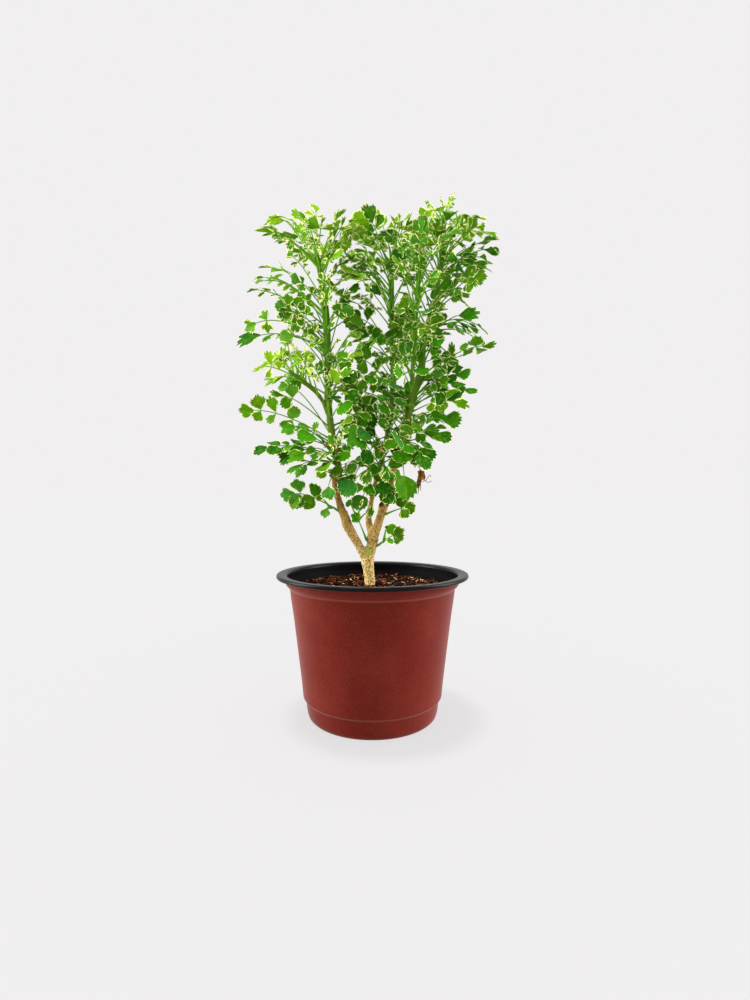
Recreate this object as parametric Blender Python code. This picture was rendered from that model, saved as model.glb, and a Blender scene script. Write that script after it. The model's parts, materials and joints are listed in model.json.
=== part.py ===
# A ming aralia in its plastic nursery pot. Metres, +Z up, its front towards -Y.
# The origin is the middle of the pot's foot. Lengths in the constants are millimetres, and MM turns
# them into metres when a mesh is made.
import math
import random
from itertools import combinations

import bmesh
import bpy
from mathutils import Quaternion, Vector
from mathutils.bvhtree import BVHTree
from mathutils.geometry import tessellate_polygon

MM = 0.001
GAP = 0.3  # between pieces that touch
UP = Vector((0, 0, 1))

# Pot, turned round Z: (radius, height)
POT_SIDES = 32
POT_OUTSIDE = [
    (46.5, 0.0),
    (50.6, 2.2),
    (52.6, 8.0),
    (53.5, 15.8),
    (54.3, 17.2),
    (64.3, 94.5),
    (64.6, 100.6),
    (68.0, 104.6),
    (68.4, 107.8),
    (74.6, 108.8),
    (75.0, 110.4),
    (73.6, 111.5),
    (68.4, 111.3),
]
POT_INSIDE = [
    (66.4, 110.4),
    (66.5, 104.9),
    (63.3, 101.2),
    (63.1, 94.5),
    (53.1, 17.4),
    (51.9, 8.2),
    (49.8, 3.4),
    (46.2, 1.2),
]
BLACK_FROM = 9  # the point of the whole profile from which the plastic is black
CUT_PAST = 4.0  # how far a cutter reaches past what it cuts
DRAIN_HOLES = 6
DRAIN_RADIUS = 4.5
DRAIN_CIRCLE = 32.0
DRAIN_SIDES = 8

# Soil, which fills the pot to 10 mm below its rim
SOIL_TOP = 100.6
SOIL_RINGS = (52.0, 39.0, 26.0, 13.0)
SOIL_BUMP = 0.45
SOIL_WAVES = (0.31, 1.1, 0.27, 0.13, 0.19)

# Woody stem: (x, y, z, radius). Its buried foot stands in a plain round hole in the soil.
WOOD_SIDES = 8
HOLE_SIDES = 16
TRUNK = [
    (-2.0, 0.0, 60.0, 4.4),
    (-2.0, 0.0, 100.0, 4.3),
    (-3.1, 0.0, 113.0, 4.4),
    (-3.8, 0.0, 122.0, 5.1),
    (-0.5, 0.0, 133.0, 4.1),
    (0.6, 0.0, 141.0, 4.3),
    (4.0, 2.0, 148.3, 3.1),
    (7.3, 4.0, 158.4, 3.1),
    (8.8, 5.0, 163.8, 3.5),
    (11.7, 7.0, 172.6, 2.5),
    (14.9, 8.0, 181.5, 2.3),
    (16.4, 9.0, 191.3, 2.5),
    (19.8, 10.0, 197.8, 2.2),
    (22.3, 10.0, 205.0, 2.2),
]
LEFT_BRANCH = [
    (-3.6, 0.0, 119.0, 3.9),
    (-11.1, -2.0, 133.4, 3.1),
    (-18.7, -5.0, 147.1, 3.4),
    (-21.8, -7.0, 156.1, 3.2),
    (-24.8, -8.0, 163.9, 2.7),
    (-28.3, -9.0, 176.4, 2.5),
    (-29.8, -9.5, 188.8, 2.3),
    (-30.2, -9.5, 192.6, 2.5),
]
LEFT_COLLAR = [
    (-27.4, -8.6, 172.0, 1.9),
    (-26.6, -7.0, 177.0, 2.0),
    (-26.2, -6.0, 181.0, 2.0),
]
CENTRE_BRANCH = [
    (0.4, 0.5, 139.0, 2.9),
    (-2.8, 6.0, 149.3, 2.2),
    (-2.9, 10.0, 156.4, 2.0),
    (-0.9, 15.0, 168.6, 1.9),
    (2.4, 19.0, 183.5, 1.9),
    (4.9, 21.0, 191.9, 1.9),
]
PRUNED_STUBS = [
    [(8.2, 4.6, 160.0, 2.0), (6.6, 2.6, 165.6, 1.9)],
    [(9.2, 5.2, 162.0, 2.0), (12.4, 3.6, 166.4, 1.8)],
    [(-29.4, -9.3, 184.0, 1.6), (-32.6, -11.0, 188.4, 1.5)],
]

# Green stems and what grows on them. A frond is (height where it leaves the stem, tip, leaflet
# length, pairs of leaflets). "back" gives the fronds that turn round the stem by rule, on the side
# that the photo doesn't show: (how many, lowest, highest, first turn in degrees).
STEM_SIDES = 6
GREEN_STEMS = [
    {
        "node": "left_stem",
        "path": [
            (-26.1, -5.7, 181.4, 1.9),
            (-26.0, -5.8, 190.0, 1.9),
            (-27.4, -8.0, 199.5, 2.3),
            (-30.4, -11.0, 214.9, 2.4),
            (-32.8, -12.0, 231.7, 2.4),
            (-34.2, -12.0, 245.5, 2.6),
            (-34.0, -12.0, 261.0, 2.4),
            (-34.6, -12.0, 288.0, 2.4),
            (-36.1, -10.0, 312.4, 2.5),
            (-38.6, -8.0, 334.1, 2.1),
            (-41.4, -6.0, 351.4, 2.0),
            (-43.5, -5.0, 359.0, 1.5),
        ],
        "fronds": [
            (354, (-89, -20, 374), 12, 3),
            (350, (-70, -38, 358), 11, 2),
            (356, (-64, 0, 399), 12, 1),
            (357, (-35, -28, 383), 11, 2),
            (355, (-56, 22, 400), 11, 2),
            (352, (-24, 4, 401), 11, 2),
            (357, (-46, 4, 409), 12, 1),
            (348, (-92, 4, 388), 12, 1),
            (345, (-25, -38, 345), 14, 1),
            (302, (-95, -18, 329), 10, 2),
            (310, (-89, 8, 350), 10, 2),
            (314, (-60, -34, 331), 9, 2),
            (320, (-68, -10, 362), 9, 1),
            (286, (-104, -14, 290), 19, 0),
            (293, (-72, -34, 312), 12, 1),
            (280, (-82, 14, 303), 13, 1),
            (327, (-6, -28, 334), 15, 1),
            (270, (-18, -34, 264), 14, 1),
            (214, (-103, -20, 236), 13, 3),
            (223, (-76, -34, 247), 12, 1),
            (202, (-91, -24, 204), 14, 2),
            (207, (-61, -6, 224), 13, 1),
            (197, (-62, -36, 188), 15, 1),
            (211, (-53, -46, 212), 16, 0),
            (194, (-36, -42, 190), 13, 1),
        ],
        "back": (6, 225, 345, 35),
    },
    {
        "node": "left_stem",
        "path": [
            (-32.6, -12.0, 230.0, 1.4),
            (-38.0, -14.0, 244.0, 1.4),
            (-45.0, -18.0, 252.5, 1.3),
            (-53.0, -23.0, 258.0, 1.3),
            (-60.0, -26.0, 263.0, 1.1),
        ],
        "fronds": [
            (259, (-91, -32, 266), 11, 2),
            (257, (-76, -44, 252), 12, 1),
            (262, (-77, -16, 284), 12, 2),
            (253, (-55, -34, 279), 10, 1),
            (248, (-46, -40, 262), 11, 1),
        ],
        "back": (0, 0, 0, 0),
    },
    {
        "node": "centre_stem",
        "path": [
            (5.0, 21.1, 192.3, 1.8),
            (7.9, 24.0, 203.0, 1.8),
            (11.7, 27.0, 219.3, 1.9),
            (14.7, 29.0, 238.2, 2.0),
            (17.6, 31.0, 268.3, 2.2),
            (17.4, 32.0, 288.2, 2.2),
            (16.8, 33.0, 314.2, 2.1),
            (16.1, 34.0, 340.3, 2.1),
            (16.1, 34.0, 364.3, 1.8),
            (17.0, 33.0, 378.0, 1.4),
        ],
        "fronds": [
            (360, (-9, 14, 410), 15, 1),
            (366, (10, 2, 388), 11, 2),
            (372, (21, 30, 413), 11, 2),
            (374, (36, 46, 412), 11, 2),
            (376, (2, 34, 416), 12, 1),
            (340, (-14, -4, 352), 12, 1),
            (366, (-20, 38, 398), 12, 2),
            (370, (-4, 66, 404), 14, 1),
            (350, (-23, 14, 374), 10, 2),
            (362, (46, 66, 402), 14, 1),
            (323, (-26, 2, 356), 11, 2),
            (314, (-16, -8, 329), 11, 2),
            (300, (-21, 4, 316), 14, 1),
            (284, (-12, -4, 301), 14, 1),
            (262, (-16, -8, 281), 12, 2),
            (250, (-22, -8, 250), 12, 2),
            (244, (17, -6, 252), 14, 1),
            (236, (-17, -16, 222), 21, 0),
            (222, (-6, -22, 196), 15, 1),
            (212, (-22, -18, 176), 16, 0),
            (208, (9, -14, 172), 15, 1),
            (202, (-11, -12, 160), 12, 1),
            (276, (35, -2, 290), 12, 1),
            (240, (31, -4, 243), 12, 1),
        ],
        "back": (9, 215, 360, 0),
    },
    {
        "node": "mid_stem",
        "path": [
            (29.4, 5.6, 229.0, 1.5),
            (30.2, -3.0, 243.0, 1.5),
            (30.8, -9.0, 258.0, 1.5),
            (31.0, -15.0, 275.5, 1.4),
            (31.8, -20.0, 293.0, 1.3),
            (33.0, -24.0, 310.4, 1.5),
            (33.7, -27.0, 324.1, 1.5),
            (34.8, -29.0, 342.0, 1.2),
        ],
        "fronds": [
            (338, (22, -14, 376), 11, 2),
            (340, (36, -42, 373), 11, 2),
            (330, (54, -48, 356), 11, 2),
            (320, (14, -42, 343), 12, 2),
            (311, (46, -56, 324), 14, 1),
            (297, (20, -46, 309), 13, 1),
            (280, (48, -50, 296), 12, 2),
            (266, (26, -46, 277), 13, 1),
            (254, (18, -38, 262), 13, 1),
        ],
        "back": (0, 0, 0, 0),
    },
    {
        "node": "right_stem",
        "path": [
            (22.4, 10.0, 205.4, 2.2),
            (26.3, 10.0, 225.4, 2.6),
            (29.5, 9.0, 240.7, 2.7),
            (33.5, 8.0, 253.5, 2.6),
            (39.0, 6.0, 270.7, 2.6),
            (40.0, 4.0, 288.7, 2.4),
            (42.0, 4.0, 299.1, 2.2),
            (46.2, 6.0, 315.0, 2.1),
            (50.1, 8.0, 330.2, 1.8),
            (53.1, 10.0, 345.6, 1.8),
            (56.2, 12.0, 362.8, 1.8),
            (57.5, 12.0, 380.7, 1.5),
            (57.9, 12.0, 399.0, 1.2),
        ],
        "fronds": [
            (397, (66, 4, 417), 10, 1),
            (388, (44, 18, 415), 10, 1),
            (375, (78, 0, 390), 11, 2),
            (384, (80, 26, 402), 12, 1),
            (344, (86, 24, 370), 13, 1),
            (306, (20, -18, 330), 12, 1),
            (357, (105, 4, 378), 12, 3),
            (351, (94, -28, 355), 10, 2),
            (367, (35, -6, 392), 11, 2),
            (365, (57, -28, 384), 14, 0),
            (372, (62, 48, 398), 14, 1),
            (327, (95, -4, 358), 13, 2),
            (318, (83, -34, 333), 13, 2),
            (299, (82, -12, 312), 18, 0),
            (335, (72, -42, 346), 12, 1),
            (268, (98, -12, 288), 13, 2),
            (282, (50, -40, 282), 16, 0),
            (264, (64, -30, 273), 12, 1),
            (244, (83, -14, 252), 14, 2),
            (238, (68, -34, 238), 12, 1),
            (226, (67, -18, 226), 17, 0),
            (220, (58, -32, 213), 14, 0),
            (216, (44, -22, 198), 17, 0),
            (211, (24, -26, 196), 15, 0),
            (208, (27, -14, 174), 19, 0),
            (252, (60, -10, 262), 12, 1),
        ],
        "back": (7, 230, 360, 70),
    },
]
# Small shoots, each one frond that starts a gap away from the wood: start, tip, leaflet length, pairs
SPRIGS = {
    "low_left_sprig": ((-26.9, -8.6, 160.6), (-70, -17, 173), 11, 2),
    "low_right_sprig": ((10.7, 2.8, 157.4), (34, -4, 160), 11, 1),
    "base_sprig": ((4.7, -0.6, 133.0), (27, -6, 142), 12, 1),
    "inner_twig": ((-4.9, -1.6, 137.6), (-16, -11, 159), 9, 0),
}
DEAD_LEAF = ((26.0, 8.0, 207.0), (44, -3, 180), 14, 1)
DEAD_SHAPE = (0.5, 0.6)  # its droop and fold

# Fronds. An outline is one half of a leaflet from its stalk to its tip, as (share of its length,
# share of its half width), by the least length that it is used for.
RACHIS_WIDTH = 1.0
RACHIS_HEIGHT = 0.9
ROOT_SPAN = 6.5  # the stretch by the stem that may cross it
ROOT_FACES = 5  # the faces of that stretch come first in a frond
ROOT_MOST = 0.4  # of a short frond's length
ROOT_SWELL = 1.35
BARE_STATION = 0.7  # where a frond without pairs has one more ring
NECK = 0.55  # half the width of a leaflet where it leaves the rachis
NECK_CLEAR = 1.4  # its middle's distance from the ring before it, at least
LEAF_THICKNESS = 0.7
LEAF_GROWTH = 1.12  # leaflets are a little larger than life, because there are fewer of them
LEAF_MOST = 0.8  # of a frond's outer half, past its bow
LEAF_WIDTH = 0.92
SIDE_LEAF_SHARE = 0.82
SIDE_LEAF_SIZES = (0.88, 1.1)
SIDE_LEAF_ANGLE = 66  # degrees from the rachis
ANGLE_WANDER = 8
SIDE_TWIST, END_TWIST = 20, 12
DROOP = 0.16
FOLD = 0.10
ARCH = 0.16
OUTLINES = {
    17: [(0.17, 0.12), (0.42, 0.88), (0.62, 0.74), (0.86, 0.74), (0.84, 0.36)],
    12.5: [(0.20, 0.14), (0.62, 0.98), (0.76, 0.50)],
    0: [(0.24, 0.18), (0.74, 0.94)],
}
PAIRS_FROM, PAIRS_TO = 0.46, 0.92
LONE_PAIR = 0.8  # where a frond with one pair has it, as a share of that stretch
PAIR_SPACING = 0.75  # at least, as a share of the leaflets' length
END_SPACING = 0.4  # the same from the last pair to the end leaflet

# How leaves face: up in the crown, and outwards lower down
CROWN, CROWN_DEPTH = 390.0, 80.0
LEAN_HIGH, LEAN_LOW = 0.1, 0.8
BACK_FROM = 15.0  # the y behind which they face the back
FACE_SIDEWAYS = 0.5
FACE_AHEAD = 30.0
FACE_WANDER = 0.4

# Finding room for each frond
TRIES = 60
STRAY = 11.0
CLEARANCE = 0.35

# Fronds by rule at the back
GOLDEN_ANGLE = 137.5
BACK_ARC, BACK_START = 200.0, -10.0
BACK_REACH, BACK_VARY = 46.0, 12.0
BACK_SWAY = 2.4
BACK_LEAF = 14
BACK_RISE = (0.1, 0.5)  # the rise for each mm of reach at the height BACK_LOW, and what
BACK_LOW, BACK_HEIGHT = 200.0, 120.0  # the next 120 mm add to it

COLOURS = {  # base colour, roughness
    "pot_plastic": ((0.17, 0.022, 0.016), 0.45),
    "pot_inside": ((0.012, 0.012, 0.013), 0.5),
    "soil": ((0.035, 0.016, 0.008), 0.95),
    "bark": ((0.42, 0.27, 0.11), 0.85),
    "foliage": ((0.07, 0.26, 0.03), 0.5),
    "dead_foliage": ((0.25, 0.10, 0.04), 0.8),
}


def clear_scene():
    for obj in list(bpy.data.objects):
        bpy.data.objects.remove(obj, do_unlink=True)


def material(name):
    found = bpy.data.materials.get(name)
    if found:
        return found
    colour, roughness = COLOURS[name]
    made = bpy.data.materials.new(name)
    made.use_nodes = True
    shader = made.node_tree.nodes["Principled BSDF"]
    shader.inputs["Base Color"].default_value = (*colour, 1)
    shader.inputs["Roughness"].default_value = roughness
    shader.inputs["Metallic"].default_value = 0
    return made


def mesh_object(name, points, faces, finish, smooth_angle=40):
    """An object from points in millimetres, with its faces turned outwards."""
    shape = bmesh.new()
    corners = [shape.verts.new(Vector(point) * MM) for point in points]
    for face in faces:
        shape.faces.new([corners[index] for index in face])
    bmesh.ops.recalc_face_normals(shape, faces=shape.faces)
    mesh = bpy.data.meshes.new(name)
    shape.to_mesh(mesh)
    shape.free()
    mesh.shade_smooth()
    mesh.set_sharp_from_angle(angle=math.radians(smooth_angle))
    mesh.materials.append(material(finish))
    obj = bpy.data.objects.new(name, mesh)
    bpy.context.scene.collection.objects.link(obj)
    return obj


def turned(profile, sides):
    """Points and faces of a profile turned round Z. Radius 0 makes a pole."""
    points, rings = [], []
    for radius, height in profile:
        count = sides if radius else 1
        rings.append(range(len(points), len(points) + count))
        for step in range(count):
            turn = 2 * math.pi * step / sides
            points.append((radius * math.cos(turn), radius * math.sin(turn), height))
    faces = []
    for lower, upper in zip(rings, rings[1:]):
        for step in range(sides):
            after = step + 1
            face = [lower[step % len(lower)], lower[after % len(lower)]]
            face += [upper[after % len(upper)], upper[step % len(upper)]]
            faces.append(list(dict.fromkeys(face)))
    return points, faces


def cut(obj, cutter):
    """A Boolean difference that stays on the object, with its cutter kept as a hidden guide."""
    cutter.hide_render = True
    cutter.display_type = "WIRE"
    modifier = obj.modifiers.new(cutter.name, "BOOLEAN")
    modifier.operation = "DIFFERENCE"
    modifier.solver = "EXACT"
    modifier.object = cutter


def fuse(obj, parts):
    """One Boolean union of the object with its parts, applied, and the parts removed."""
    if not parts:
        return
    group = bpy.data.collections.new(obj.name + "_parts")
    bpy.context.scene.collection.children.link(group)
    for part in parts:
        bpy.context.scene.collection.objects.unlink(part)
        group.objects.link(part)
    modifier = obj.modifiers.new("union", "BOOLEAN")
    modifier.operation = "UNION"
    modifier.solver = "EXACT"
    modifier.operand_type = "COLLECTION"
    modifier.collection = group
    bpy.context.view_layer.update()
    graph = bpy.context.evaluated_depsgraph_get()
    joined = bpy.data.meshes.new_from_object(obj.evaluated_get(graph))
    obj.modifiers.clear()
    obj.data = joined
    keep_main_body(obj)
    for part in parts:
        bpy.data.objects.remove(part, do_unlink=True)
    bpy.data.collections.remove(group)


def keep_main_body(obj):
    """Fills the hollows that the union sealed and drops loose scraps, by keeping the largest surface."""
    shape = bmesh.new()
    shape.from_mesh(obj.data)
    waiting = set(shape.verts)
    bodies = []
    while waiting:
        body, edge = set(), [waiting.pop()]
        while edge:
            corner = edge.pop()
            body.add(corner)
            for link in corner.link_edges:
                other = link.other_vert(corner)
                if other in waiting:
                    waiting.remove(other)
                    edge.append(other)
        bodies.append(body)
    bodies.sort(key=len)
    for body in bodies[:-1]:
        print(obj.name, "leaves out a surface of", len(body), "points")
        bmesh.ops.delete(shape, geom=list(body), context="VERTS")
    shape.to_mesh(obj.data)
    shape.free()


# Paths and tubes


def tube(path, sides):
    """Points and faces of a closed tube along (x, y, z, radius) points."""
    centres = [Vector(point[:3]) for point in path]
    points, faces = [], []
    heading = (centres[1] - centres[0]).normalized()
    normal = heading.orthogonal().normalized()
    for index, centre in enumerate(centres):
        ahead = centres[min(index + 1, len(centres) - 1)] - centres[max(index - 1, 0)]
        ahead.normalize()
        normal = heading.rotation_difference(ahead) @ normal
        heading = ahead
        for step in range(sides):
            turn = Quaternion(heading, 2 * math.pi * step / sides)
            points.append(centre + turn @ normal * path[index][3])
        if index:
            for step in range(sides):
                low = (index - 1) * sides
                after = (step + 1) % sides
                faces.append((low + step, low + after, low + sides + after, low + sides + step))
    faces.append(tuple(range(sides)))
    faces.append(tuple(range(len(points) - sides, len(points))))
    return points, faces


def at_height(path, height):
    """The point of a rising path at a height, or its nearer end."""
    for low, high in zip(path, path[1:]):
        if low[2] <= height <= high[2]:
            share = (height - low[2]) / (high[2] - low[2])
            return Vector(low[:3]).lerp(Vector(high[:3]), share)
    return Vector(path[0][:3] if height < path[0][2] else path[-1][:3])


# Leaflets and fronds


def outline_for(length):
    return next(outline for least, outline in OUTLINES.items() if length >= least)


def add_leaflet(points, faces, near, far, out, across, up, length, swell, shape):
    """One leaflet grown from a neck: near and far are the neck's (top, bottom) corners. The leaflet's
    two faces are split into the same triangles."""
    base = sum((points[index] for index in near + far), Vector((0, 0, 0))) / 4
    size = length + 2 * swell
    half = size * LEAF_WIDTH / 2
    thick = LEAF_THICKNESS / 2 + swell
    droop, fold = shape

    def place(along, off):
        lift = size * (fold * abs(off) - droop * along * along)
        return base + out * along * size + across * off * half + up * lift

    outline = outline_for(length)
    outline = [(a, -o) for a, o in outline] + [(1, 0)] + outline[::-1]
    first = len(points)
    for along, off in outline:
        points += [place(along, off) + up * thick, place(along, off) - up * thick]
    rim = [near] + [(first + 2 * i, first + 2 * i + 1) for i in range(len(outline))] + [far]
    flat = [(0, -NECK / half)] + outline + [(0, NECK / half)]
    flat = [Vector((along * size, off * half, 0)) for along, off in flat]
    for triangle in tessellate_polygon([flat]):
        for level in (0, 1):
            faces.append([rim[corner][level] for corner in triangle])
    for here, there in zip(rim, rim[1:]):
        faces.append((here[0], there[0], there[1]))
        faces.append((here[0], there[1], here[1]))


def frond(root, tip, leaf, pairs, facing, seed, swell=0.0, shape=(DROOP, FOLD)):
    """Points and faces of a frond: an arched rachis with pairs of leaflets and one at its end.
    The third list says where each leaflet's faces start."""
    draw = random.Random(seed)
    span = (tip - root).length
    bow = root.lerp(tip, 0.5) + UP * span * ARCH
    leaf = min(leaf, LEAF_MOST * (tip - bow).length)
    end = tip - (tip - bow).normalized() * leaf
    length = (end - root).length

    def along(t):
        return root * (1 - t) ** 2 + bow * 2 * t * (1 - t) + end * t * t

    def frame(t):
        ahead = ((bow - root) * (1 - t) + (end - bow) * t).normalized()
        side = facing.cross(ahead).normalized()
        return ahead, side, ahead.cross(side)

    highest = min(PAIRS_TO, 1 - END_SPACING * leaf / length)
    room = (highest - PAIRS_FROM) * length
    pairs = min(pairs, 1 + max(int(room / (leaf * PAIR_SPACING)), 0))
    stations = [0.0, min(ROOT_SPAN / length, ROOT_MOST)]
    if not pairs:
        stations.append(BARE_STATION)
    leafy = []
    for pair in range(pairs):
        share = pair / (pairs - 1) if pairs > 1 else LONE_PAIR
        middle = PAIRS_FROM + (highest - PAIRS_FROM) * share
        middle = max(middle, stations[-1] + NECK_CLEAR / length)
        leafy.append(len(stations))
        stations += [middle - NECK / length, middle + NECK / length]
    stations.append(1.0)

    points, faces = [], []
    for index, t in enumerate(stations):
        ahead, side, up = frame(t)
        slim = 1.0 if index > 1 else ROOT_SWELL
        wide = side * (RACHIS_WIDTH / 2 * slim + swell)
        high = up * (RACHIS_HEIGHT / 2 * slim + swell)
        centre = along(t)
        points += [centre - wide + high, centre + wide + high]
        points += [centre + wide - high, centre - wide - high]
        if not index:
            faces.append((0, 1, 2, 3))
            continue
        low = 4 * (index - 1)
        for corner in range(4):
            # Corners 1 to 2 are the right side, and 3 to 0 the left.
            if index - 1 in leafy and corner in (1, 3):
                continue
            after = (corner + 1) % 4
            faces.append((low + corner, low + after, low + 4 + after, low + 4 + corner))

    def twisted(out, up, most):
        turn = Quaternion(out, math.radians(draw.uniform(-most, most)))
        return turn @ up

    starts = []
    for index in leafy:
        ahead, side, up = frame((stations[index] + stations[index + 1]) / 2)
        low, high = 4 * index, 4 * index + 4
        for right in (True, False):
            angle = math.radians(SIDE_LEAF_ANGLE + draw.uniform(-ANGLE_WANDER, ANGLE_WANDER))
            out = ahead * math.cos(angle) + side * math.sin(angle) * (1 if right else -1)
            lifted = twisted(out, up, SIDE_TWIST)
            across = out.cross(lifted) if right else lifted.cross(out)
            near = (low + 1, low + 2) if right else (low, low + 3)
            far = (high + 1, high + 2) if right else (high, high + 3)
            size = leaf * SIDE_LEAF_SHARE * draw.uniform(*SIDE_LEAF_SIZES)
            starts.append(len(faces))
            add_leaflet(points, faces, near, far, out, across, lifted, size, swell, shape)
    ahead, side, up = frame(1.0)
    last = 4 * (len(stations) - 1)
    lifted = twisted(ahead, up, END_TWIST)
    across = lifted.cross(ahead)
    near, far = (last, last + 3), (last + 1, last + 2)
    starts.append(len(faces))
    add_leaflet(points, faces, near, far, ahead, across, lifted, leaf, swell, shape)
    return points, faces, starts


def facing_of(tip):
    """The way a frond's upper face looks."""
    below = min(max((CROWN - tip.z) / CROWN_DEPTH, 0.0), 1.0)
    lean = LEAN_HIGH + (LEAN_LOW - LEAN_HIGH) * below
    ahead = -FACE_AHEAD if tip.y < BACK_FROM else FACE_AHEAD
    outwards = Vector((FACE_SIDEWAYS * tip.x, tip.y + ahead, 0)).normalized()
    return (UP * (1 - lean) + outwards * lean).normalized()


class Thicket:
    """What has grown so far, so that no new frond crosses it."""

    def __init__(self):
        self.grown = []

    def add(self, points, faces):
        self.grown.append(BVHTree.FromPolygons(points, faces))

    def has_room(self, points, faces, starts):
        """Whether a frond clears all the rest, and its own leaflets clear each other."""
        leaves = [faces[first:end] for first, end in zip(starts, starts[1:] + [len(faces)])]
        trees = [BVHTree.FromPolygons(points, leaf) for leaf in leaves]
        if any(one.overlap(other) for one, other in combinations(trees, 2)):
            return False
        tree = BVHTree.FromPolygons(points, faces[ROOT_FACES:])
        return not any(tree.overlap(other) for other in self.grown)


def grow_frond(thicket, root, tip, leaf, pairs, seed, shape=(DROOP, FOLD)):
    """The first frond near its wanted tip that clears the rest, or None."""
    draw = random.Random(seed)
    leaf *= LEAF_GROWTH
    for attempt in range(TRIES):
        stray = STRAY * attempt / TRIES
        moved = tip + Vector([draw.uniform(-stray, stray) for _ in range(3)])
        wander = Vector([draw.uniform(-FACE_WANDER, FACE_WANDER) for _ in range(3)])
        facing = facing_of(tip) + wander
        chord = (moved - root).normalized()
        facing = (facing - chord * facing.dot(chord)).normalized()
        shown = max(pairs - (attempt > TRIES // 2), 0)
        form = (root, moved, leaf, shown, facing, seed)
        if thicket.has_room(*frond(*form, swell=CLEARANCE, shape=shape)):
            points, faces, _ = frond(*form, shape=shape)
            thicket.add(points, faces)
            return points, faces
    return None


def back_fronds(path, rule):
    """Fronds by rule on the side away from the front, turning by the golden angle."""
    count, low, high, turn = rule
    rows = []
    for index in range(count):
        height = low + (high - low) * index / max(count - 1, 1)
        azimuth = math.radians((index * GOLDEN_ANGLE + turn) % BACK_ARC + BACK_START)
        reach = BACK_REACH + BACK_VARY * math.sin(BACK_SWAY * index + turn)
        rise = BACK_RISE[0] + BACK_RISE[1] * (height - BACK_LOW) / BACK_HEIGHT
        way = Vector((math.cos(azimuth), math.sin(azimuth), rise))
        rows.append((height, at_height(path, height) + way * reach, BACK_LEAF + index % 3, 1))
    return rows


# The pieces


def make_pot():
    profile = [(0, 0.0)] + POT_OUTSIDE + POT_INSIDE + [(0, POT_INSIDE[-1][1])]
    points, faces = turned(profile, POT_SIDES)
    pot = mesh_object("pot", points, faces, "pot_plastic")
    pot.data.materials.append(material("pot_inside"))
    for polygon in pot.data.polygons:
        polygon.material_index = int(polygon.index // POT_SIDES > BLACK_FROM)
    holes_points, holes_faces = [], []
    top = POT_INSIDE[-1][1] + CUT_PAST
    profile = [(0, -CUT_PAST), (DRAIN_RADIUS, -CUT_PAST), (DRAIN_RADIUS, top), (0, top)]
    for hole in range(DRAIN_HOLES):
        turn = 2 * math.pi * (hole + 0.5) / DRAIN_HOLES
        points, faces = turned(profile, DRAIN_SIDES)
        shift = Vector((DRAIN_CIRCLE * math.cos(turn), DRAIN_CIRCLE * math.sin(turn), 0))
        first = len(holes_points)
        holes_points += [Vector(point) + shift for point in points]
        holes_faces += [[index + first for index in face] for face in faces]
    cut(pot, mesh_object("drain_cutter", holes_points, holes_faces, "pot_inside"))


def make_soil():
    profile = [(0, POT_INSIDE[-1][1] + GAP), (POT_INSIDE[-1][0] - GAP, POT_INSIDE[-1][1] + GAP)]
    for radius, height in reversed(POT_INSIDE[3:-1]):
        profile.append((radius - GAP, height))
    profile.append((POT_INSIDE[2][0] - GAP, SOIL_TOP))
    top_ring = len(profile)
    profile += [(radius, SOIL_TOP) for radius in SOIL_RINGS] + [(0, SOIL_TOP)]
    points, faces = turned(profile, POT_SIDES)
    first_top = 1 + (top_ring - 1) * POT_SIDES
    wide, shift, deep, slant, cross = SOIL_WAVES
    for index in range(first_top, len(points)):
        x, y, z = points[index]
        bump = math.sin(wide * x + shift) * math.cos(deep * y) + math.sin(slant * x - cross * y)
        points[index] = (x, y, z + SOIL_BUMP * bump)
    soil = mesh_object("soil", points, faces, "soil")
    x, y, foot, radius = TRUNK[0]
    radius += 2 * GAP
    top = SOIL_TOP + CUT_PAST
    profile = [(0, foot - GAP), (radius, foot - GAP), (radius, top), (0, top)]
    points, faces = turned(profile, HOLE_SIDES)
    points = [Vector(point) + Vector((x, y, 0)) for point in points]
    cut(soil, mesh_object("trunk_cutter", points, faces, "soil"))


def make_wood(thicket):
    solids = []
    for path in [TRUNK, LEFT_BRANCH, LEFT_COLLAR, CENTRE_BRANCH] + PRUNED_STUBS:
        points, faces = tube(path, WOOD_SIDES)
        thicket.add(points, faces)
        solids.append(mesh_object("wood", points, faces, "bark", smooth_angle=60))
    fuse(solids[0], solids[1:])
    solids[0].name = "wood"


def make_green(thicket):
    """The green stems first, so that every frond clears them, and then their fronds."""
    parts = {}
    for stem in GREEN_STEMS:
        points, faces = tube(stem["path"], STEM_SIDES)
        thicket.add(points, faces)
        node = stem["node"]
        parts.setdefault(node, []).append(mesh_object(node, points, faces, "foliage"))
    left_out = 0
    for number, stem in enumerate(GREEN_STEMS):
        rows = stem["fronds"] + back_fronds(stem["path"], stem["back"])
        for index, (height, tip, leaf, pairs) in enumerate(rows):
            root = at_height(stem["path"], height)
            grown = grow_frond(thicket, root, Vector(tip), leaf, pairs, f"stem {number} {index}")
            if not grown:
                left_out += 1
                continue
            node = stem["node"]
            parts[node].append(mesh_object(node, *grown, "foliage", smooth_angle=30))
    print(left_out, "fronds found no room")
    for name, solids in parts.items():
        fuse(solids[0], solids[1:])
        solids[0].name = name


def make_sprigs(thicket):
    for name, (start, tip, leaf, pairs) in SPRIGS.items():
        grown = grow_frond(thicket, Vector(start), Vector(tip), leaf, pairs, name)
        mesh_object(name, *grown, "foliage", smooth_angle=30)
    start, tip, leaf, pairs = DEAD_LEAF
    grown = grow_frond(
        thicket, Vector(start), Vector(tip), leaf, pairs, "dead leaf", shape=DEAD_SHAPE
    )
    mesh_object("dead_leaf", *grown, "dead_foliage", smooth_angle=30)


def main():
    clear_scene()
    make_pot()
    make_soil()
    thicket = Thicket()
    make_wood(thicket)
    make_sprigs(thicket)
    make_green(thicket)


main()
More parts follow.
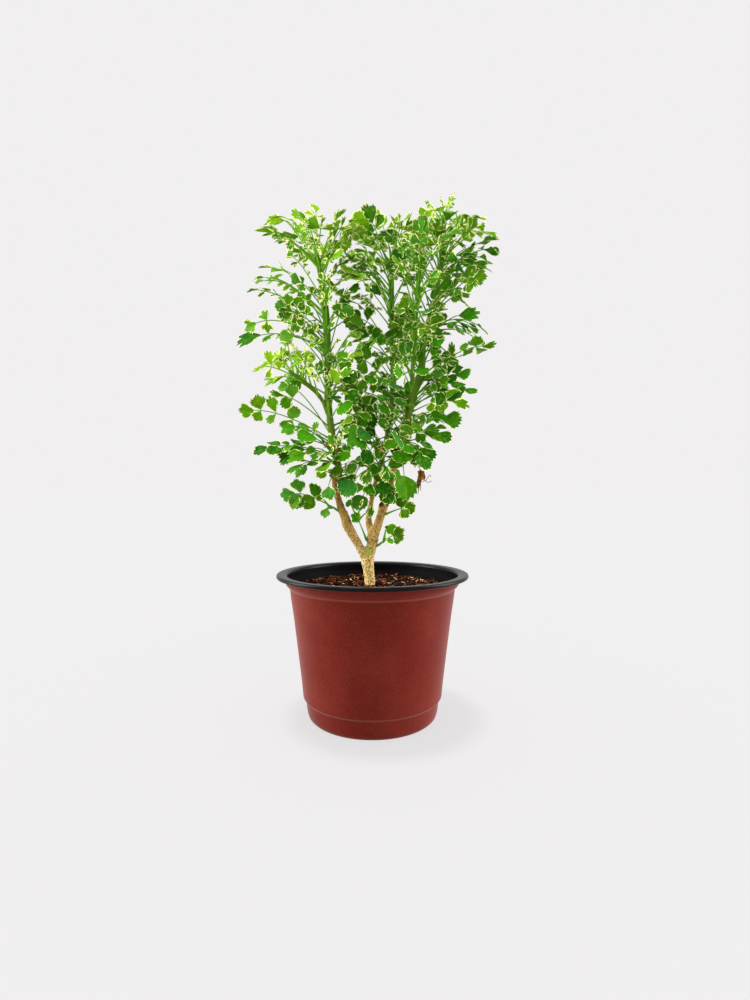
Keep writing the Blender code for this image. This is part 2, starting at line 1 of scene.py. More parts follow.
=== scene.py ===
import json
import math
import random
from itertools import combinations

import bmesh
import bpy
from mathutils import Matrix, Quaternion, Vector, noise
from mathutils.bvhtree import BVHTree
from mathutils.geometry import tessellate_polygon

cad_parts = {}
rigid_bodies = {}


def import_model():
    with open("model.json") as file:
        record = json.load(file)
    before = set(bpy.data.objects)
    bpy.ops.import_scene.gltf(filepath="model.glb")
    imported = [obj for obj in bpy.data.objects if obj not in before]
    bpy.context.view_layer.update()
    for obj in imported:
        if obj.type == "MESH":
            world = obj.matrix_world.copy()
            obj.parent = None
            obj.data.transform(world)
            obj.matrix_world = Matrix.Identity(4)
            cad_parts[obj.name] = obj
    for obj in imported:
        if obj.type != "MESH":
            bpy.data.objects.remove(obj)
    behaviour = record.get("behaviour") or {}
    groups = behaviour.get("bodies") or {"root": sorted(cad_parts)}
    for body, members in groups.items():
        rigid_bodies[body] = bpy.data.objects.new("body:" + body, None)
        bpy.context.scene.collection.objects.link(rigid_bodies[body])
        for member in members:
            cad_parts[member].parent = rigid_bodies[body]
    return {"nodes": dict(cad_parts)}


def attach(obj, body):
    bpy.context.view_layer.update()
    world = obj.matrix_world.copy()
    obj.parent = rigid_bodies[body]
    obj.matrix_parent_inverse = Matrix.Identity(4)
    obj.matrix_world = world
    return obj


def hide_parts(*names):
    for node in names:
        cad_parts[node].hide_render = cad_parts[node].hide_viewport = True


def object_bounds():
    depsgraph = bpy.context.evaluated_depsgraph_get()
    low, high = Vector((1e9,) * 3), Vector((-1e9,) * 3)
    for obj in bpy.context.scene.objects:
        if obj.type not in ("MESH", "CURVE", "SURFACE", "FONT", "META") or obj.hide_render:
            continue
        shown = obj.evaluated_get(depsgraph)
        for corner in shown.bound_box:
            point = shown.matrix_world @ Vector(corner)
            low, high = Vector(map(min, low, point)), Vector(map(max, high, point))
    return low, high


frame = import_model()
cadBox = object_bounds()
print("frame loaded, solids:", len(frame["nodes"]))

mm = 0.001  # lengths below are millimetres until a mesh is made
upward = Vector((0, 0, 1))


# node helpers for the finishes
def newFinish(name, roughness, specular=0.5):
    finish = bpy.data.materials.new(name)
    finish.use_nodes = True
    tree = finish.node_tree
    shader = tree.nodes["Principled BSDF"]
    shader.inputs["Roughness"].default_value = roughness
    shader.inputs["Specular IOR Level"].default_value = specular
    return finish, tree, shader


def addNode(tree, kind, inputs=None, **settings):
    made = tree.nodes.new(kind)
    for key, value in settings.items():
        setattr(made, key, value)
    for key, value in (inputs or {}).items():
        if isinstance(value, bpy.types.NodeSocket):
            tree.links.new(value, made.inputs[key])
        else:
            made.inputs[key].default_value = value
    return made


def calc(tree, operation, first, second=0.0, clamp=False):
    made = addNode(tree, "ShaderNodeMath", {0: first, 1: second}, operation=operation)
    made.use_clamp = clamp
    return made.outputs[0]


def weighted(tree, first, second, share, firstShare=None):
    # the first value, or that part of it, and a share of the second
    if firstShare is not None:
        first = calc(tree, "MULTIPLY", first, firstShare)
    return calc(tree, "ADD", first, calc(tree, "MULTIPLY", second, share))


def mixColours(tree, share, first, second, most=None):
    # most: how much of the second colour there is where the share is 1
    inputs = {0: share if most is None else calc(tree, "MULTIPLY", share, most)}
    for key, value in ((6, first), (7, second)):
        inputs[key] = value if isinstance(value, bpy.types.NodeSocket) else (*value, 1)
    return addNode(tree, "ShaderNodeMix", inputs, data_type="RGBA").outputs[2]


def softStep(tree, value, low, high):
    inputs = {"Value": value, "From Min": low, "From Max": high}
    made = addNode(tree, "ShaderNodeMapRange", inputs, interpolation_type="SMOOTHSTEP")
    return made.outputs["Result"]


def noiseOf(tree, where, scale, detail=3.0, roughness=0.55):
    inputs = {"Vector": where, "Scale": scale, "Detail": detail, "Roughness": roughness}
    return addNode(tree, "ShaderNodeTexNoise", inputs).outputs["Fac"]


def bumpInto(tree, shader, height, strength, distance):
    inputs = {"Height": height, "Strength": strength, "Distance": distance}
    made = addNode(tree, "ShaderNodeBump", inputs)
    tree.links.new(made.outputs["Normal"], shader.inputs["Normal"])


def objectPlace(tree):
    return addNode(tree, "ShaderNodeTexCoord").outputs["Object"]


def parts(tree, vector):
    return addNode(tree, "ShaderNodeSeparateXYZ", {0: vector}).outputs


def cornerValue(tree, name, output="Fac"):
    return addNode(tree, "ShaderNodeAttribute", attribute_name=name).outputs[output]


def stretched(tree, where, x, y, z):
    inputs = {"Vector": where, "Scale": (x, y, z)}
    return addNode(tree, "ShaderNodeMapping", inputs).outputs["Vector"]


def addObject(name, data):
    made = bpy.data.objects.new(name, data)
    bpy.context.scene.collection.objects.link(made)
    return made


# camera, light and floor
stageLook = {
    "cameraPlace": (1.98, -410.6, 168.6),  # it looks level along +Y
    "lens": 18.648,
    "sensor": 36,  # along the picture's height
    "clip": (0.01, 200),
    "sky": (0.8796, 0.8632, 0.8714),  # the even light from all round, and what shows behind
    "paper": (0.12, 0.12, 0.12),
    "paperGlow": 0.7887,  # the share of its brightness that no shadow takes away
    "paperReach": 60000,
    "suns": {  # where each comes from, how soft and how strong it is
        "sunOnPlant": ((-0.14, 0.045, 0.989), 20, 1.0),
        "sunOnPaper": ((-0.09, 0.01, 0.996), 11, 2.18),  # a paper that glows needs a strong one
    },
}
studioLamps = [
    # name, place, aim, width, height, watts, what it spares besides the paper
    ("lampLeft", (-900, 20, 330), (0, 0, 150), 450, 1300, 19.0, ()),
    ("lampRight", (900, 10, 330), (0, 0, 150), 450, 1300, 17.0, ()),
    ("lampFront", (-620, -900, 620), (0, 0, 230), 500, 500, 7.0, ("nurseryPot",)),
]


def setCamera():
    lens = bpy.data.cameras.new("camera")
    lens.sensor_width, lens.lens = stageLook["sensor"], stageLook["lens"]
    lens.clip_start, lens.clip_end = stageLook["clip"]
    camera = addObject("camera", lens)
    camera.location = Vector(stageLook["cameraPlace"]) * mm
    camera.rotation_euler = (math.radians(90), 0, 0)
    bpy.context.scene.camera = camera


def setPaper():
    half = stageLook["paperReach"] / 2 * mm
    corners = [(-half, -half, 0), (half, -half, 0), (half, half, 0), (-half, half, 0)]
    mesh = bpy.data.meshes.new("studioPaper")
    mesh.from_pydata(corners, [], [(0, 1, 2, 3)])
    paper = addObject("studioPaper", mesh)
    finish, _, shader = newFinish("studioPaper", 1.0, 0.0)
    shader.inputs["Base Color"].default_value = (*stageLook["paper"], 1)
    shader.inputs["Emission Color"].default_value = (*stageLook["sky"], 1)
    shader.inputs["Emission Strength"].default_value = stageLook["paperGlow"]
    mesh.materials.append(finish)
    return paper


def addLamp(name, kind, place, aim):
    holder = addObject(name, bpy.data.lights.new(name, kind))
    holder.location = Vector(place) * mm
    holder.rotation_euler = (Vector(aim) - Vector(place)).to_track_quat("-Z", "Y").to_euler()
    holder.visible_camera = False
    return holder


def spare(lamp, pieces):
    # the lamp lights everything but these pieces
    linking = lamp.light_linking
    if not linking.receiver_collection:
        linking.receiver_collection = bpy.data.collections.new("sparedBy" + lamp.name)
    for piece in pieces:
        linking.receiver_collection.objects.link(piece)
    for linked in linking.receiver_collection.collection_objects:
        linked.light_linking.link_state = "EXCLUDE"


def setLights(paper):
    world = bpy.data.worlds.new("studio")
    world.use_nodes = True
    sky = world.node_tree.nodes["Background"]
    sky.inputs["Color"].default_value = (*stageLook["sky"], 1)
    sky.inputs["Strength"].default_value = 1.0
    bpy.context.scene.world = world
    for name, place, aim, width, height, watts, _ in studioLamps:
        holder = addLamp(name, "AREA", place, aim)
        holder.data.shape = "RECTANGLE"
        holder.data.size, holder.data.size_y = width * mm, height * mm
        holder.data.energy = watts
        spare(holder, [paper])
    paperOnly = bpy.data.collections.new("paperOnly")
    paperOnly.objects.link(paper)
    for name, (place, softness, strength) in stageLook["suns"].items():
        sun = addLamp(name, "SUN", Vector(place) * 1000, (0, 0, 0))
        sun.data.energy = strength
        sun.data.angle = math.radians(softness)
        if name == "sunOnPlant":
            spare(sun, [paper])
        else:
            sun.light_linking.receiver_collection = paperOnly
            sun.light_linking.blocker_collection = bpy.data.collections.new("shadowMakers")


setCamera()
setLights(setPaper())
bpy.context.scene.view_settings.view_transform = "Standard"
print("camera, light and paper set")


# mesh helpers
def addPiece(name, points, faces, finishes, replaced, faceFinish=None, sharp=40):
    mesh = bpy.data.meshes.new(name)
    mesh.from_pydata([Vector(point) * mm for point in points], [], faces)
    for finish in finishes:
        mesh.materials.append(finish)
    if faceFinish:
        mesh.polygons.foreach_set("material_index", faceFinish)
    mesh.shade_smooth()
    mesh.set_sharp_from_angle(angle=math.radians(sharp))
    piece = addObject(name, mesh)
    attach(piece, "root")
    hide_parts(*replaced)
    for lamp in studioLamps:
        if name in lamp[-1]:
            spare(bpy.data.objects[lamp[0]], [piece])
    return piece


def keepOnCorners(piece, name, kind, values):
    # values that the finishes read, one for each corner of the mesh
    kept = piece.data.attributes.new(name, kind, "POINT")
    kept.data.foreach_set("vector" if kind == "FLOAT_VECTOR" else "value", values)


def applyModifiers(piece):
    bpy.context.view_layer.update()
    graph = bpy.context.evaluated_depsgraph_get()
    done = bpy.data.meshes.new_from_object(piece.evaluated_get(graph))
    piece.modifiers.clear()
    piece.data = done


def turnedShape(profile, sides):
    # points and faces of (radius, height) turned round Z; radius 0 makes a pole
    points, rings = [], []
    for radius, height in profile:
        count = sides if radius else 1
        rings.append(range(len(points), len(points) + count))
        for step in range(count):
            turn = 2 * math.pi * step / sides
            points.append((radius * math.cos(turn), radius * math.sin(turn), height))
    faces = []
    for lower, upper in zip(rings, rings[1:]):
        for step in range(sides):
            after = step + 1
            face = [lower[step % len(lower)], lower[after % len(lower)]]
            face += [upper[after % len(upper)], upper[step % len(upper)]]
            faces.append(list(dict.fromkeys(face)))
    return points, faces


def smoothCurve(points, steps):
    # Catmull-Rom through points of any width, so many steps a span
    knots = [Vector(point) for point in points]
    knots = [2 * knots[0] - knots[1]] + knots + [2 * knots[-1] - knots[-2]]
    path = []
    for before, start, end, after in zip(knots, knots[1:], knots[2:], knots[3:]):
        for step in range(steps):
            t = step / steps
            bend = 2 * start + (end - before) * t
            bend += (2 * before - 5 * start + 4 * end - after) * t * t
            bend += (3 * start - before - 3 * end + after) * t**3
            path.append(bend / 2)
    return path + [knots[-2]]


def tubeShape(path, sides):
    # a closed tube along (x, y, z, radius)
    centres = [Vector(point[:3]) for point in path]
    points, faces = [], []
    heading = (centres[1] - centres[0]).normalized()
    normal = heading.orthogonal().normalized()
    for index, centre in enumerate(centres):
        ahead = centres[min(index + 1, len(centres) - 1)] - centres[max(index - 1, 0)]
        ahead.normalize()
        normal = heading.rotation_difference(ahead) @ normal
        heading = ahead
        for step in range(sides):
            turn = Quaternion(heading, 2 * math.pi * step / sides)
            points.append(centre + turn @ normal * path[index][3])
        if index:
            for step in range(sides):
                low = (index - 1) * sides
                after = (step + 1) % sides
                faces.append((low + step, low + after, low + sides + after, low + sides + step))
    faces.append(tuple(range(sides - 1, -1, -1)))
    faces.append(tuple(range(len(points) - sides, len(points))))
    return points, faces


# nursery pot
potShape = {
    "sides": 160,
    "outside": [
        (0.0, 0.9), (42.9, 0.9), (43.9, 0.6), (44.8, 0.1), (46.5, 0.0), (48.5, 0.6), (49.9, 1.9),
        (50.7, 4.0), (51.35, 7.6), (51.9, 12.0), (52.3, 14.6), (52.45, 15.1), (52.9, 15.6),
        (53.9, 16.5), (54.3, 17.1), (54.4, 18.0), (55.3, 27.3), (58.4, 52.8), (61.6, 78.3),
        (63.9, 94.0), (64.4, 98.2), (64.6, 100.2), (64.85, 100.75), (65.4, 101.35), (66.6, 102.5),
        (67.5, 103.7), (68.0, 104.8), (68.25, 106.2), (68.45, 107.2), (68.9, 107.75),
        (69.8, 108.0), (73.6, 108.5), (74.5, 108.8), (74.95, 109.5), (74.95, 110.4), (74.6, 111.1),
        (73.9, 111.45), (73.0, 111.5), (69.6, 111.35), (68.6, 111.2), (67.6, 110.9),
    ],
    "inside": [
        (66.9, 110.2), (66.65, 109.2), (66.55, 106.5), (66.3, 104.7), (65.6, 103.3), (64.4, 102.0),
        (63.5, 101.2), (63.25, 100.2), (62.8, 94.5), (59.5, 71.0), (56.3, 45.6), (53.0, 18.4),
        (50.9, 14.4), (50.2, 8.2), (49.3, 5.0), (47.9, 2.9), (45.2, 1.6), (0.0, 1.5),
    ],
    "blackFrom": 30,  # the profile point where the red outside ends
    "holes": 6,
    "holeRadius": 4.5,
    "holeCircle": 32.0,
    "holeSides": 32,
    "holeCut": (-4, 6),  # the heights between which each hole is cut
    "creaseHighlightHeights": (100.55, 15.55),  # heights of the bends, where a thin pale line is painted on as a highlight
    "red": (0.129, 0.0076, 0.0024),
    "redWorn": (0.172, 0.0165, 0.0075),
    # pale red for the grain specks, and for the painted highlights at the bends
    "redPaleForGrainsAndHighlights": (0.31, 0.080, 0.045),
    "sheen": (0.18, 0.31, (1.0, 0.80, 0.72, 1)),  # weight, roughness, tint
    "black": (0.0030, 0.0024, 0.0026),
    "blackDusty": (0.009, 0.0075, 0.0075),
}


def redPlastic():
    finish, tree, shader = newFinish("redPlastic", 0.42, 0.10)
    for name, value in zip(("Weight", "Roughness", "Tint"), potShape["sheen"]):
        shader.inputs["Sheen " + name].default_value = value
    where = objectPlace(tree)
    cloud = noiseOf(tree, where, 28.0, 4.0)
    specks = noiseOf(tree, where, 900.0, 2.0)
    worn = softStep(tree, weighted(tree, cloud, specks, 0.35), 0.55, 0.95)
    colour = mixColours(tree, worn, potShape["red"], potShape["redWorn"])
    height = parts(tree, where)["Z"]
    # a painted highlight: a thin pale band of colour at each bend of the sheet
    for highlightHeight in potShape["creaseHighlightHeights"]:
        away = calc(tree, "ABSOLUTE", calc(tree, "SUBTRACT", height, highlightHeight * mm))
        colour = mixColours(tree, softStep(tree, away, 0.0011, 0.0003), colour, potShape["redPaleForGrainsAndHighlights"], 0.42)
    grains = softStep(tree, noiseOf(tree, where, 1250.0, 2.0), 0.51, 0.67)
    colour = mixColours(tree, grains, colour, potShape["redPaleForGrainsAndHighlights"], 0.18)
    tree.links.new(colour, shader.inputs["Base Color"])
    rough = addNode(tree, "ShaderNodeMapRange", {"Value": cloud, "To Min": 0.36, "To Max": 0.52})
    tree.links.new(rough.outputs[0], shader.inputs["Roughness"])
    lines = noiseOf(tree, stretched(tree, where, 60, 60, 900), 1.0, 2.0)  # the drawn sheet's faint rings
    bumpInto(tree, shader, weighted(tree, lines, specks, 0.25, 0.4), 0.25, 0.0003)
    return finish


def blackPlastic(name, roughness, specular):
    finish, tree, shader = newFinish(name, roughness, specular)
    where = objectPlace(tree)
    dust = softStep(tree, noiseOf(tree, where, 60.0, 5.0), 0.5, 0.85)
    colour = mixColours(tree, dust, potShape["black"], potShape["blackDusty"])
    tree.links.new(colour, shader.inputs["Base Color"])
    bumpInto(tree, shader, noiseOf(tree, where, 700.0, 2.0), 0.15, 0.0003)
    return finish


def makePot():
    sides, outside = potShape["sides"], potShape["outside"]
    points, faces = turnedShape(outside + potShape["inside"], sides)
    rows = [index // sides for index in range(len(faces))]
    skins = [2 if row > len(outside) else int(row >= potShape["blackFrom"]) for row in rows]
    finishes = [redPlastic(), blackPlastic("blackRim", 0.30, 0.10), blackPlastic("blackInside", 0.6, 0.03)]
    faces = [face[::-1] for face in faces]
    pot = addPiece("nurseryPot", points, faces, finishes, ["pot"], skins)
    bpy.data.collections["shadowMakers"].objects.link(pot)
    shape = bmesh.new()
    shape.from_mesh(pot.data)
    bmesh.ops.recalc_face_normals(shape, faces=shape.faces)
    shape.to_mesh(pot.data)
    shape.free()
    cutters = []
    radius, (low, high) = potShape["holeRadius"], potShape["holeCut"]
    profile = [(0, low), (radius, low), (radius, high), (0, high)]
    for hole in range(potShape["holes"]):
        turn = 2 * math.pi * (hole + 0.5) / potShape["holes"]
        shift = Vector((math.cos(turn), math.sin(turn), 0)) * potShape["holeCircle"]
        points, faces = turnedShape(profile, potShape["holeSides"])
        mesh = bpy.data.meshes.new("holeCutter")
        mesh.from_pydata([(Vector(point) + shift) * mm for point in points], [], faces)
        cutters.append(addObject("holeCutter", mesh))
        cut = pot.modifiers.new("drainHole", "BOOLEAN")
        cut.operation, cut.solver, cut.object = "DIFFERENCE", "EXACT", cutters[-1]
    applyModifiers(pot)
    for cutter in cutters:
        bpy.data.objects.remove(cutter, do_unlink=True)


makePot()
print("pot made")


# soil with bark chips
soilShape = {
    "sides": 96,
    "profile": [(0, 1.9), (44.6, 1.9), (47.8, 4.0), (49.7, 8.4), (52.3, 18.8), (62.3, 94.4), (63.0, 100.6)],
    "top": 101.0,
    "rings": 34,
    "bump": 0.9,
    "waves": [(0.09, 1.0), (0.35, 0.6), (0.9, 0.35)],  # of the surface: how fine, how high
    "heap": (0.9, 160),  # round the trunk: height, spread
    "chips": 1600,
    "chipSizes": (2.7, 6.6),
    "chipShares": (0.6, 1.0),  # so that small ones are more common
    "chipWidths": (0.13, 0.27),  # half widths and half heights, as shares of the size
    "chipHeights": (0.07, 0.15),
    "chipRoughness": (0.72, 1.15),  # how far a corner moves in or out
    "chipTilt": 0.45,
    "chipLift": (0.1, 0.9),  # how far the middle of a chip is above the soil, in half heights
    "reach": 62.0,
    "trunkRadius": 4.2,
    "trunkPlace": (-2.0, 0.0),
    "dark": (0.0042, 0.0013, 0.0007),
    "brown": (0.060, 0.018, 0.006),
    "orange": (0.31, 0.088, 0.018),
    "cream": (0.62, 0.42, 0.22),
    "seed": 11,
}


def soilFinish():
    finish, tree, shader = newFinish("soilCrumbs", 0.9, 0.0)
    where = objectPlace(tree)
    crumbs = noiseOf(tree, where, 420.0, 5.0)
    colour = mixColours(tree, softStep(tree, crumbs, 0.45, 0.75), soilShape["dark"], soilShape["brown"])
    tree.links.new(colour, shader.inputs["Base Color"])
    bumpInto(tree, shader, crumbs, 0.8, 0.001)
    return finish


def chipFinish():
    finish, tree, shader = newFinish("barkChips", 0.55, 0.06)
    tone = cornerValue(tree, "chipTone")
    where = objectPlace(tree)
    grain = noiseOf(tree, where, 900.0, 3.0)
    colour = mixColours(tree, softStep(tree, tone, 0.40, 0.60), soilShape["dark"], soilShape["brown"])
    colour = mixColours(tree, softStep(tree, tone, 0.66, 0.88), colour, soilShape["orange"])
    colour = mixColours(tree, softStep(tree, tone, 0.95, 0.975), colour, soilShape["cream"])
    colour = mixColours(tree, grain, colour, soilShape["dark"], 0.55)
    tree.links.new(colour, shader.inputs["Base Color"])
    bumpInto(tree, shader, grain, 0.5, 0.0004)
    return finish


def soilHeight(x, y):
    spot = Vector((x, y, 0.0))
    lift = sum(high * noise.noise(spot * fine) for fine, high in soilShape["waves"])
    heap, spread = soilShape["heap"]
    heap *= math.exp(-((x - soilShape["trunkPlace"][0]) ** 2 + y * y) / spread)
    return soilShape["top"] + soilShape["bump"] * lift + heap


def makeSoil():
    reach, rings, sides = soilShape["profile"][-1][0], soilShape["rings"], soilShape["sides"]
    profile = list(soilShape["profile"])
    for ring in range(1, rings):
        profile.append((reach * (1 - ring / rings), soilShape["top"]))
    profile.append((0, soilShape["top"]))
    points, faces = turnedShape(profile, sides)
    first = 1 + (len(soilShape["profile"]) - 1) * sides
    for index in range(first, len(points)):
        x, y, _ = points[index]
        points[index] = (x, y, soilHeight(x, y))
    addPiece("pottingSoil", points, faces, [soilFinish()], ["soil"], sharp=180)
    addChips()


def addChips():
    draw = random.Random(soilShape["seed"])
    points, faces, tones = [], [], []
    ball = bmesh.new()
    bmesh.ops.create_icosphere(ball, subdivisions=1, radius=1.0)
    rest = [corner.co.copy() for corner in ball.verts]
    links = [[corner.index for corner in face.verts] for face in ball.faces]
    ball.free()
    x0, y0 = soilShape["trunkPlace"]
    for _ in range(soilShape["chips"]):
        turn = draw.uniform(0, 2 * math.pi)
        away = soilShape["reach"] * math.sqrt(draw.random())
        x, y = away * math.cos(turn), away * math.sin(turn)
        size = draw.uniform(*soilShape["chipSizes"]) * draw.uniform(*soilShape["chipShares"])
        if math.hypot(x - x0, y - y0) < soilShape["trunkRadius"] + size * 0.5:
            continue
        if away + size * 0.6 > soilShape["reach"]:
            continue
        wide, high = (size * draw.uniform(*soilShape[key]) for key in ("chipWidths", "chipHeights"))
        scale = Vector((size * 0.5, wide, high))
        spin = Quaternion(upward, draw.uniform(0, 2 * math.pi))
        tiltAxis = (draw.uniform(-1, 1), draw.uniform(-1, 1), 0.01)
        tilt = Quaternion(tiltAxis, draw.gauss(0, soilShape["chipTilt"]))
        centre = Vector((x, y, soilHeight(x, y) + scale.z * draw.uniform(*soilShape["chipLift"])))
        first, tone = len(points), draw.random()
        for corner in rest:
            rough = Vector([axis * draw.uniform(*soilShape["chipRoughness"]) for axis in corner])
            points.append(centre + tilt @ (spin @ Vector([a * b for a, b in zip(rough, scale)])))
            tones.append(tone)
        faces += [[first + index for index in link] for link in links]
    chips = addPiece("barkChips", points, faces, [chipFinish()], ["soil"], sharp=35)
    keepOnCorners(chips, "chipTone", "FLOAT", tones)


makeSoil()
print("soil and chips made")


# woody stem
woodShape = {  # each limb's rows are x, y, z and radius
    "sides": 20,
    "steps": 6,  # between two rows
    "trunk": [
        (-2.0, 0.0, 60.0, 4.4), (-2.0, 0.0, 100.0, 4.3), (-3.1, 0.0, 113.0, 4.4),
        (-3.8, 0.0, 122.0, 5.1), (-0.5, 0.0, 133.0, 4.1), (0.6, 0.0, 141.0, 4.3),
        (4.0, 2.0, 148.3, 3.1), (7.3, 4.0, 158.4, 3.1), (8.8, 5.0, 163.8, 3.5),
        (11.7, 7.0, 172.6, 2.5), (14.9, 8.0, 181.5, 2.3), (16.4, 9.0, 191.3, 2.5),
        (19.8, 10.0, 197.8, 2.2), (22.3, 10.0, 205.0, 2.2),
    ],
    "leftBranch": [
        (-3.6, 0.0, 119.0, 3.9), (-11.1, -2.0, 133.4, 3.1), (-18.7, -5.0, 147.1, 3.4),
        (-21.8, -7.0, 156.1, 3.2), (-24.8, -8.0, 163.9, 2.7), (-28.3, -9.0, 176.4, 2.5),
        (-29.8, -9.5, 188.8, 2.3), (-30.2, -9.5, 192.6, 2.5),
    ],
    "leftCollar": [(-27.4, -8.6, 172.0, 1.9), (-26.6, -7.0, 177.0, 2.0), (-26.2, -6.0, 181.0, 2.0)],
    "centreBranch": [
        (0.4, 0.5, 139.0, 2.9), (-2.8, 6.0, 149.3, 2.2), (-2.9, 10.0, 156.4, 2.0),
        (-0.9, 15.0, 168.6, 1.9), (2.4, 19.0, 183.5, 1.9), (4.9, 21.0, 191.9, 1.9),
    ],
    "stubs": [
        [(8.2, 4.6, 160.0, 2.0), (6.6, 2.6, 165.6, 1.9)],
        [(9.2, 5.2, 162.0, 2.0), (12.4, 3.6, 166.4, 1.8)],
        [(-29.4, -9.3, 184.0, 1.6), (-32.6, -11.0, 188.4, 1.5)],
    ],
    "slimmer": 0.15,
    "fuller": (148, 17, 0.55),  # the middle height of the thicker part, its reach and its extra radius
    "voxel": 0.5,
    "smoothing": 4,
    "ridges": 0.24,
    "ridgeScale": (0.9, 0.9, 0.22),
    "pimples": 0.36,
    "pimpleScale": 0.75,
    "rings": (0.175, 11.0, 0.5, 128),  # height, spacing, width, and the height that they start from
    "cutReach": (3.4, 1.4),  # how far from a pruned end its dark colour reaches, and over what it fades
    "tan": (0.52, 0.335, 0.058),
    "gold": (0.76, 0.62, 0.32),
    "brown": (0.225, 0.112, 0.009),
    "crack": (0.125, 0.058, 0.012),
    "moss": (0.20, 0.36, 0.022),
    "mossAt": (-3.0, -3.4, 128.4),
    "cutEnd": (0.045, 0.018, 0.01),
}
woodLimbs = [woodShape[key] for key in ("trunk", "leftBranch", "leftCollar", "centreBranch")]


def barkFinish():
    finish, tree, shader = newFinish("bark", 0.85, 0.03)
    where = objectPlace(tree)
    broad = noiseOf(tree, where, 120.0, 4.0)
    specks = noiseOf(tree, where, 780.0, 3.0, 0.7)
    grooves = noiseOf(tree, stretched(tree, where, 620, 620, 260), 1.0, 4.0, 0.65)
    colour = mixColours(tree, softStep(tree, specks, 0.40, 0.58), woodShape["gold"], woodShape["tan"])
    upper = softStep(tree, weighted(tree, parts(tree, where)["Z"], broad, 0.02), 0.122, 0.165)
    colour = mixColours(tree, upper, colour, woodShape["brown"], 0.74)
    inputs = {0: where, 1: Vector(woodShape["mossAt"]) * mm}
    away = addNode(tree, "ShaderNodeVectorMath", inputs, operation="DISTANCE").outputs["Value"]
    mossy = softStep(tree, weighted(tree, away, specks, 0.003), 0.0062, 0.0035)
    colour = mixColours(tree, mossy, colour, woodShape["moss"], 0.75)
    colour = mixColours(tree, softStep(tree, grooves, 0.52, 0.62), colour, woodShape["brown"], 0.62)
    colour = mixColours(tree, softStep(tree, specks, 0.54, 0.64), colour, woodShape["crack"], 0.95)
    colour = mixColours(tree, cornerValue(tree, "cutEnd"), colour, woodShape["cutEnd"])
    tree.links.new(colour, shader.inputs["Base Color"])
    bumpInto(tree, shader, weighted(tree, grooves, specks, -0.5, -0.8), 0.7, 0.0006)
    return finish


def fuller(height):
    middle, reach, extra = woodShape["fuller"]
    return extra * math.exp(-(((height - middle) / reach) ** 2))


def makeWood():
    points, faces = [], []
    for limb in woodLimbs + woodShape["stubs"]:
        path = smoothCurve(limb, woodShape["steps"])
        path = [(x, y, z, radius - woodShape["slimmer"] + fuller(z)) for x, y, z, radius in path]
        some, theirs = tubeShape(path, woodShape["sides"])
        faces += [[index + len(points) for index in face] for face in theirs]
        points += some
    wood = addPiece("woodyStem", points, faces, [barkFinish()], ["wood"])
    remesh = wood.modifiers.new("oneSkin", "REMESH")
    remesh.mode, remesh.voxel_size = "VOXEL", woodShape["voxel"] * mm
    applyModifiers(wood)
    wood.modifiers.new("evenForks", "SMOOTH").iterations = woodShape["smoothing"]
    applyModifiers(wood)
    ends = [Vector(limb[-1][:3]) for limb in [woodShape["leftBranch"]] + woodShape["stubs"]]
    darkness = []
    normals = [corner.normal.copy() for corner in wood.data.vertices]
    high, spacing, width, start = woodShape["rings"]
    reach, fade = woodShape["cutReach"]
    for corner, normal in zip(wood.data.vertices, normals):
        spot = corner.co / mm
        along = Vector([axis * scale for axis, scale in zip(spot, woodShape["ridgeScale"])])
        lift = woodShape["ridges"] * noise.noise(along)
        lift += woodShape["pimples"] * noise.noise(spot * woodShape["pimpleScale"])
        lift += high * math.exp(-(((spot.z % spacing) - spacing / 2) ** 2) / width) * (spot.z > start)
        corner.co += normal * lift * mm
        near = min((spot - end).length for end in ends)
        darkness.append(max(0.0, min(1.0, (reach - near) / fade)))
    keepOnCorners(wood, "cutEnd", "FLOAT", darkness)
    wood.data.shade_smooth()
    print("bark corners:", len(darkness))


makeWood()
print("woody stem made")


# how the plant grows: the same rule as its solids
frondRule = {
    "stalkWidth": 1.0, "stalkHeight": 0.9, "rootSpan": 6.5, "rootFaces": 5, "rootMost": 0.4,
    "rootSwell": 1.35, "bareStation": 0.7, "neck": 0.55, "neckClear": 1.4, "thickness": 0.7,
    "growth": 1.12, "leafMost": 0.8, "leafWidth": 0.92, "sideShare": 0.82, "sideSizes": (0.88, 1.1),
    "sideAngle": 66, "angleWander": 8, "sideTwist": 20, "endTwist": 12, "arch": 0.16,
    "pairsFrom": 0.46, "pairsTo": 0.92, "lonePair": 0.8, "pairSpacing": 0.75, "endSpacing": 0.4,
    "crown": 390.0, "crownDepth": 80.0, "leanHigh": 0.1, "leanLow": 0.8, "backFrom": 15.0,
    "faceSideways": 0.5, "faceAhead": 30.0, "faceWander": 0.4,
    "tries": 60, "stray": 11.0, "clearance": 0.35,
    "backTurn": 137.5, "backArc": 200.0, "backStart": -10.0, "backReach": 46.0, "backVary": 12.0,
    "backSway": 2.4, "backLeaf": 14, "backRise": (0.1, 0.5), "backLow": 200.0, "backHeight": 120.0,
    "limbSides": 8, "stemSides": 6,  # of the tubes that a frond has to clear
}
leafBend = (0.16, 0.10)  # how far a leaflet droops and folds
deadBend = (0.5, 0.6)
roughOutlines = {  # from this length on: places along and across
    17: [(0.17, 0.12), (0.42, 0.88), (0.62, 0.74), (0.86, 0.74), (0.84, 0.36)],
    12.5: [(0.20, 0.14), (0.62, 0.98), (0.76, 0.50)],
    0: [(0.24, 0.18), (0.74, 0.94)],
}
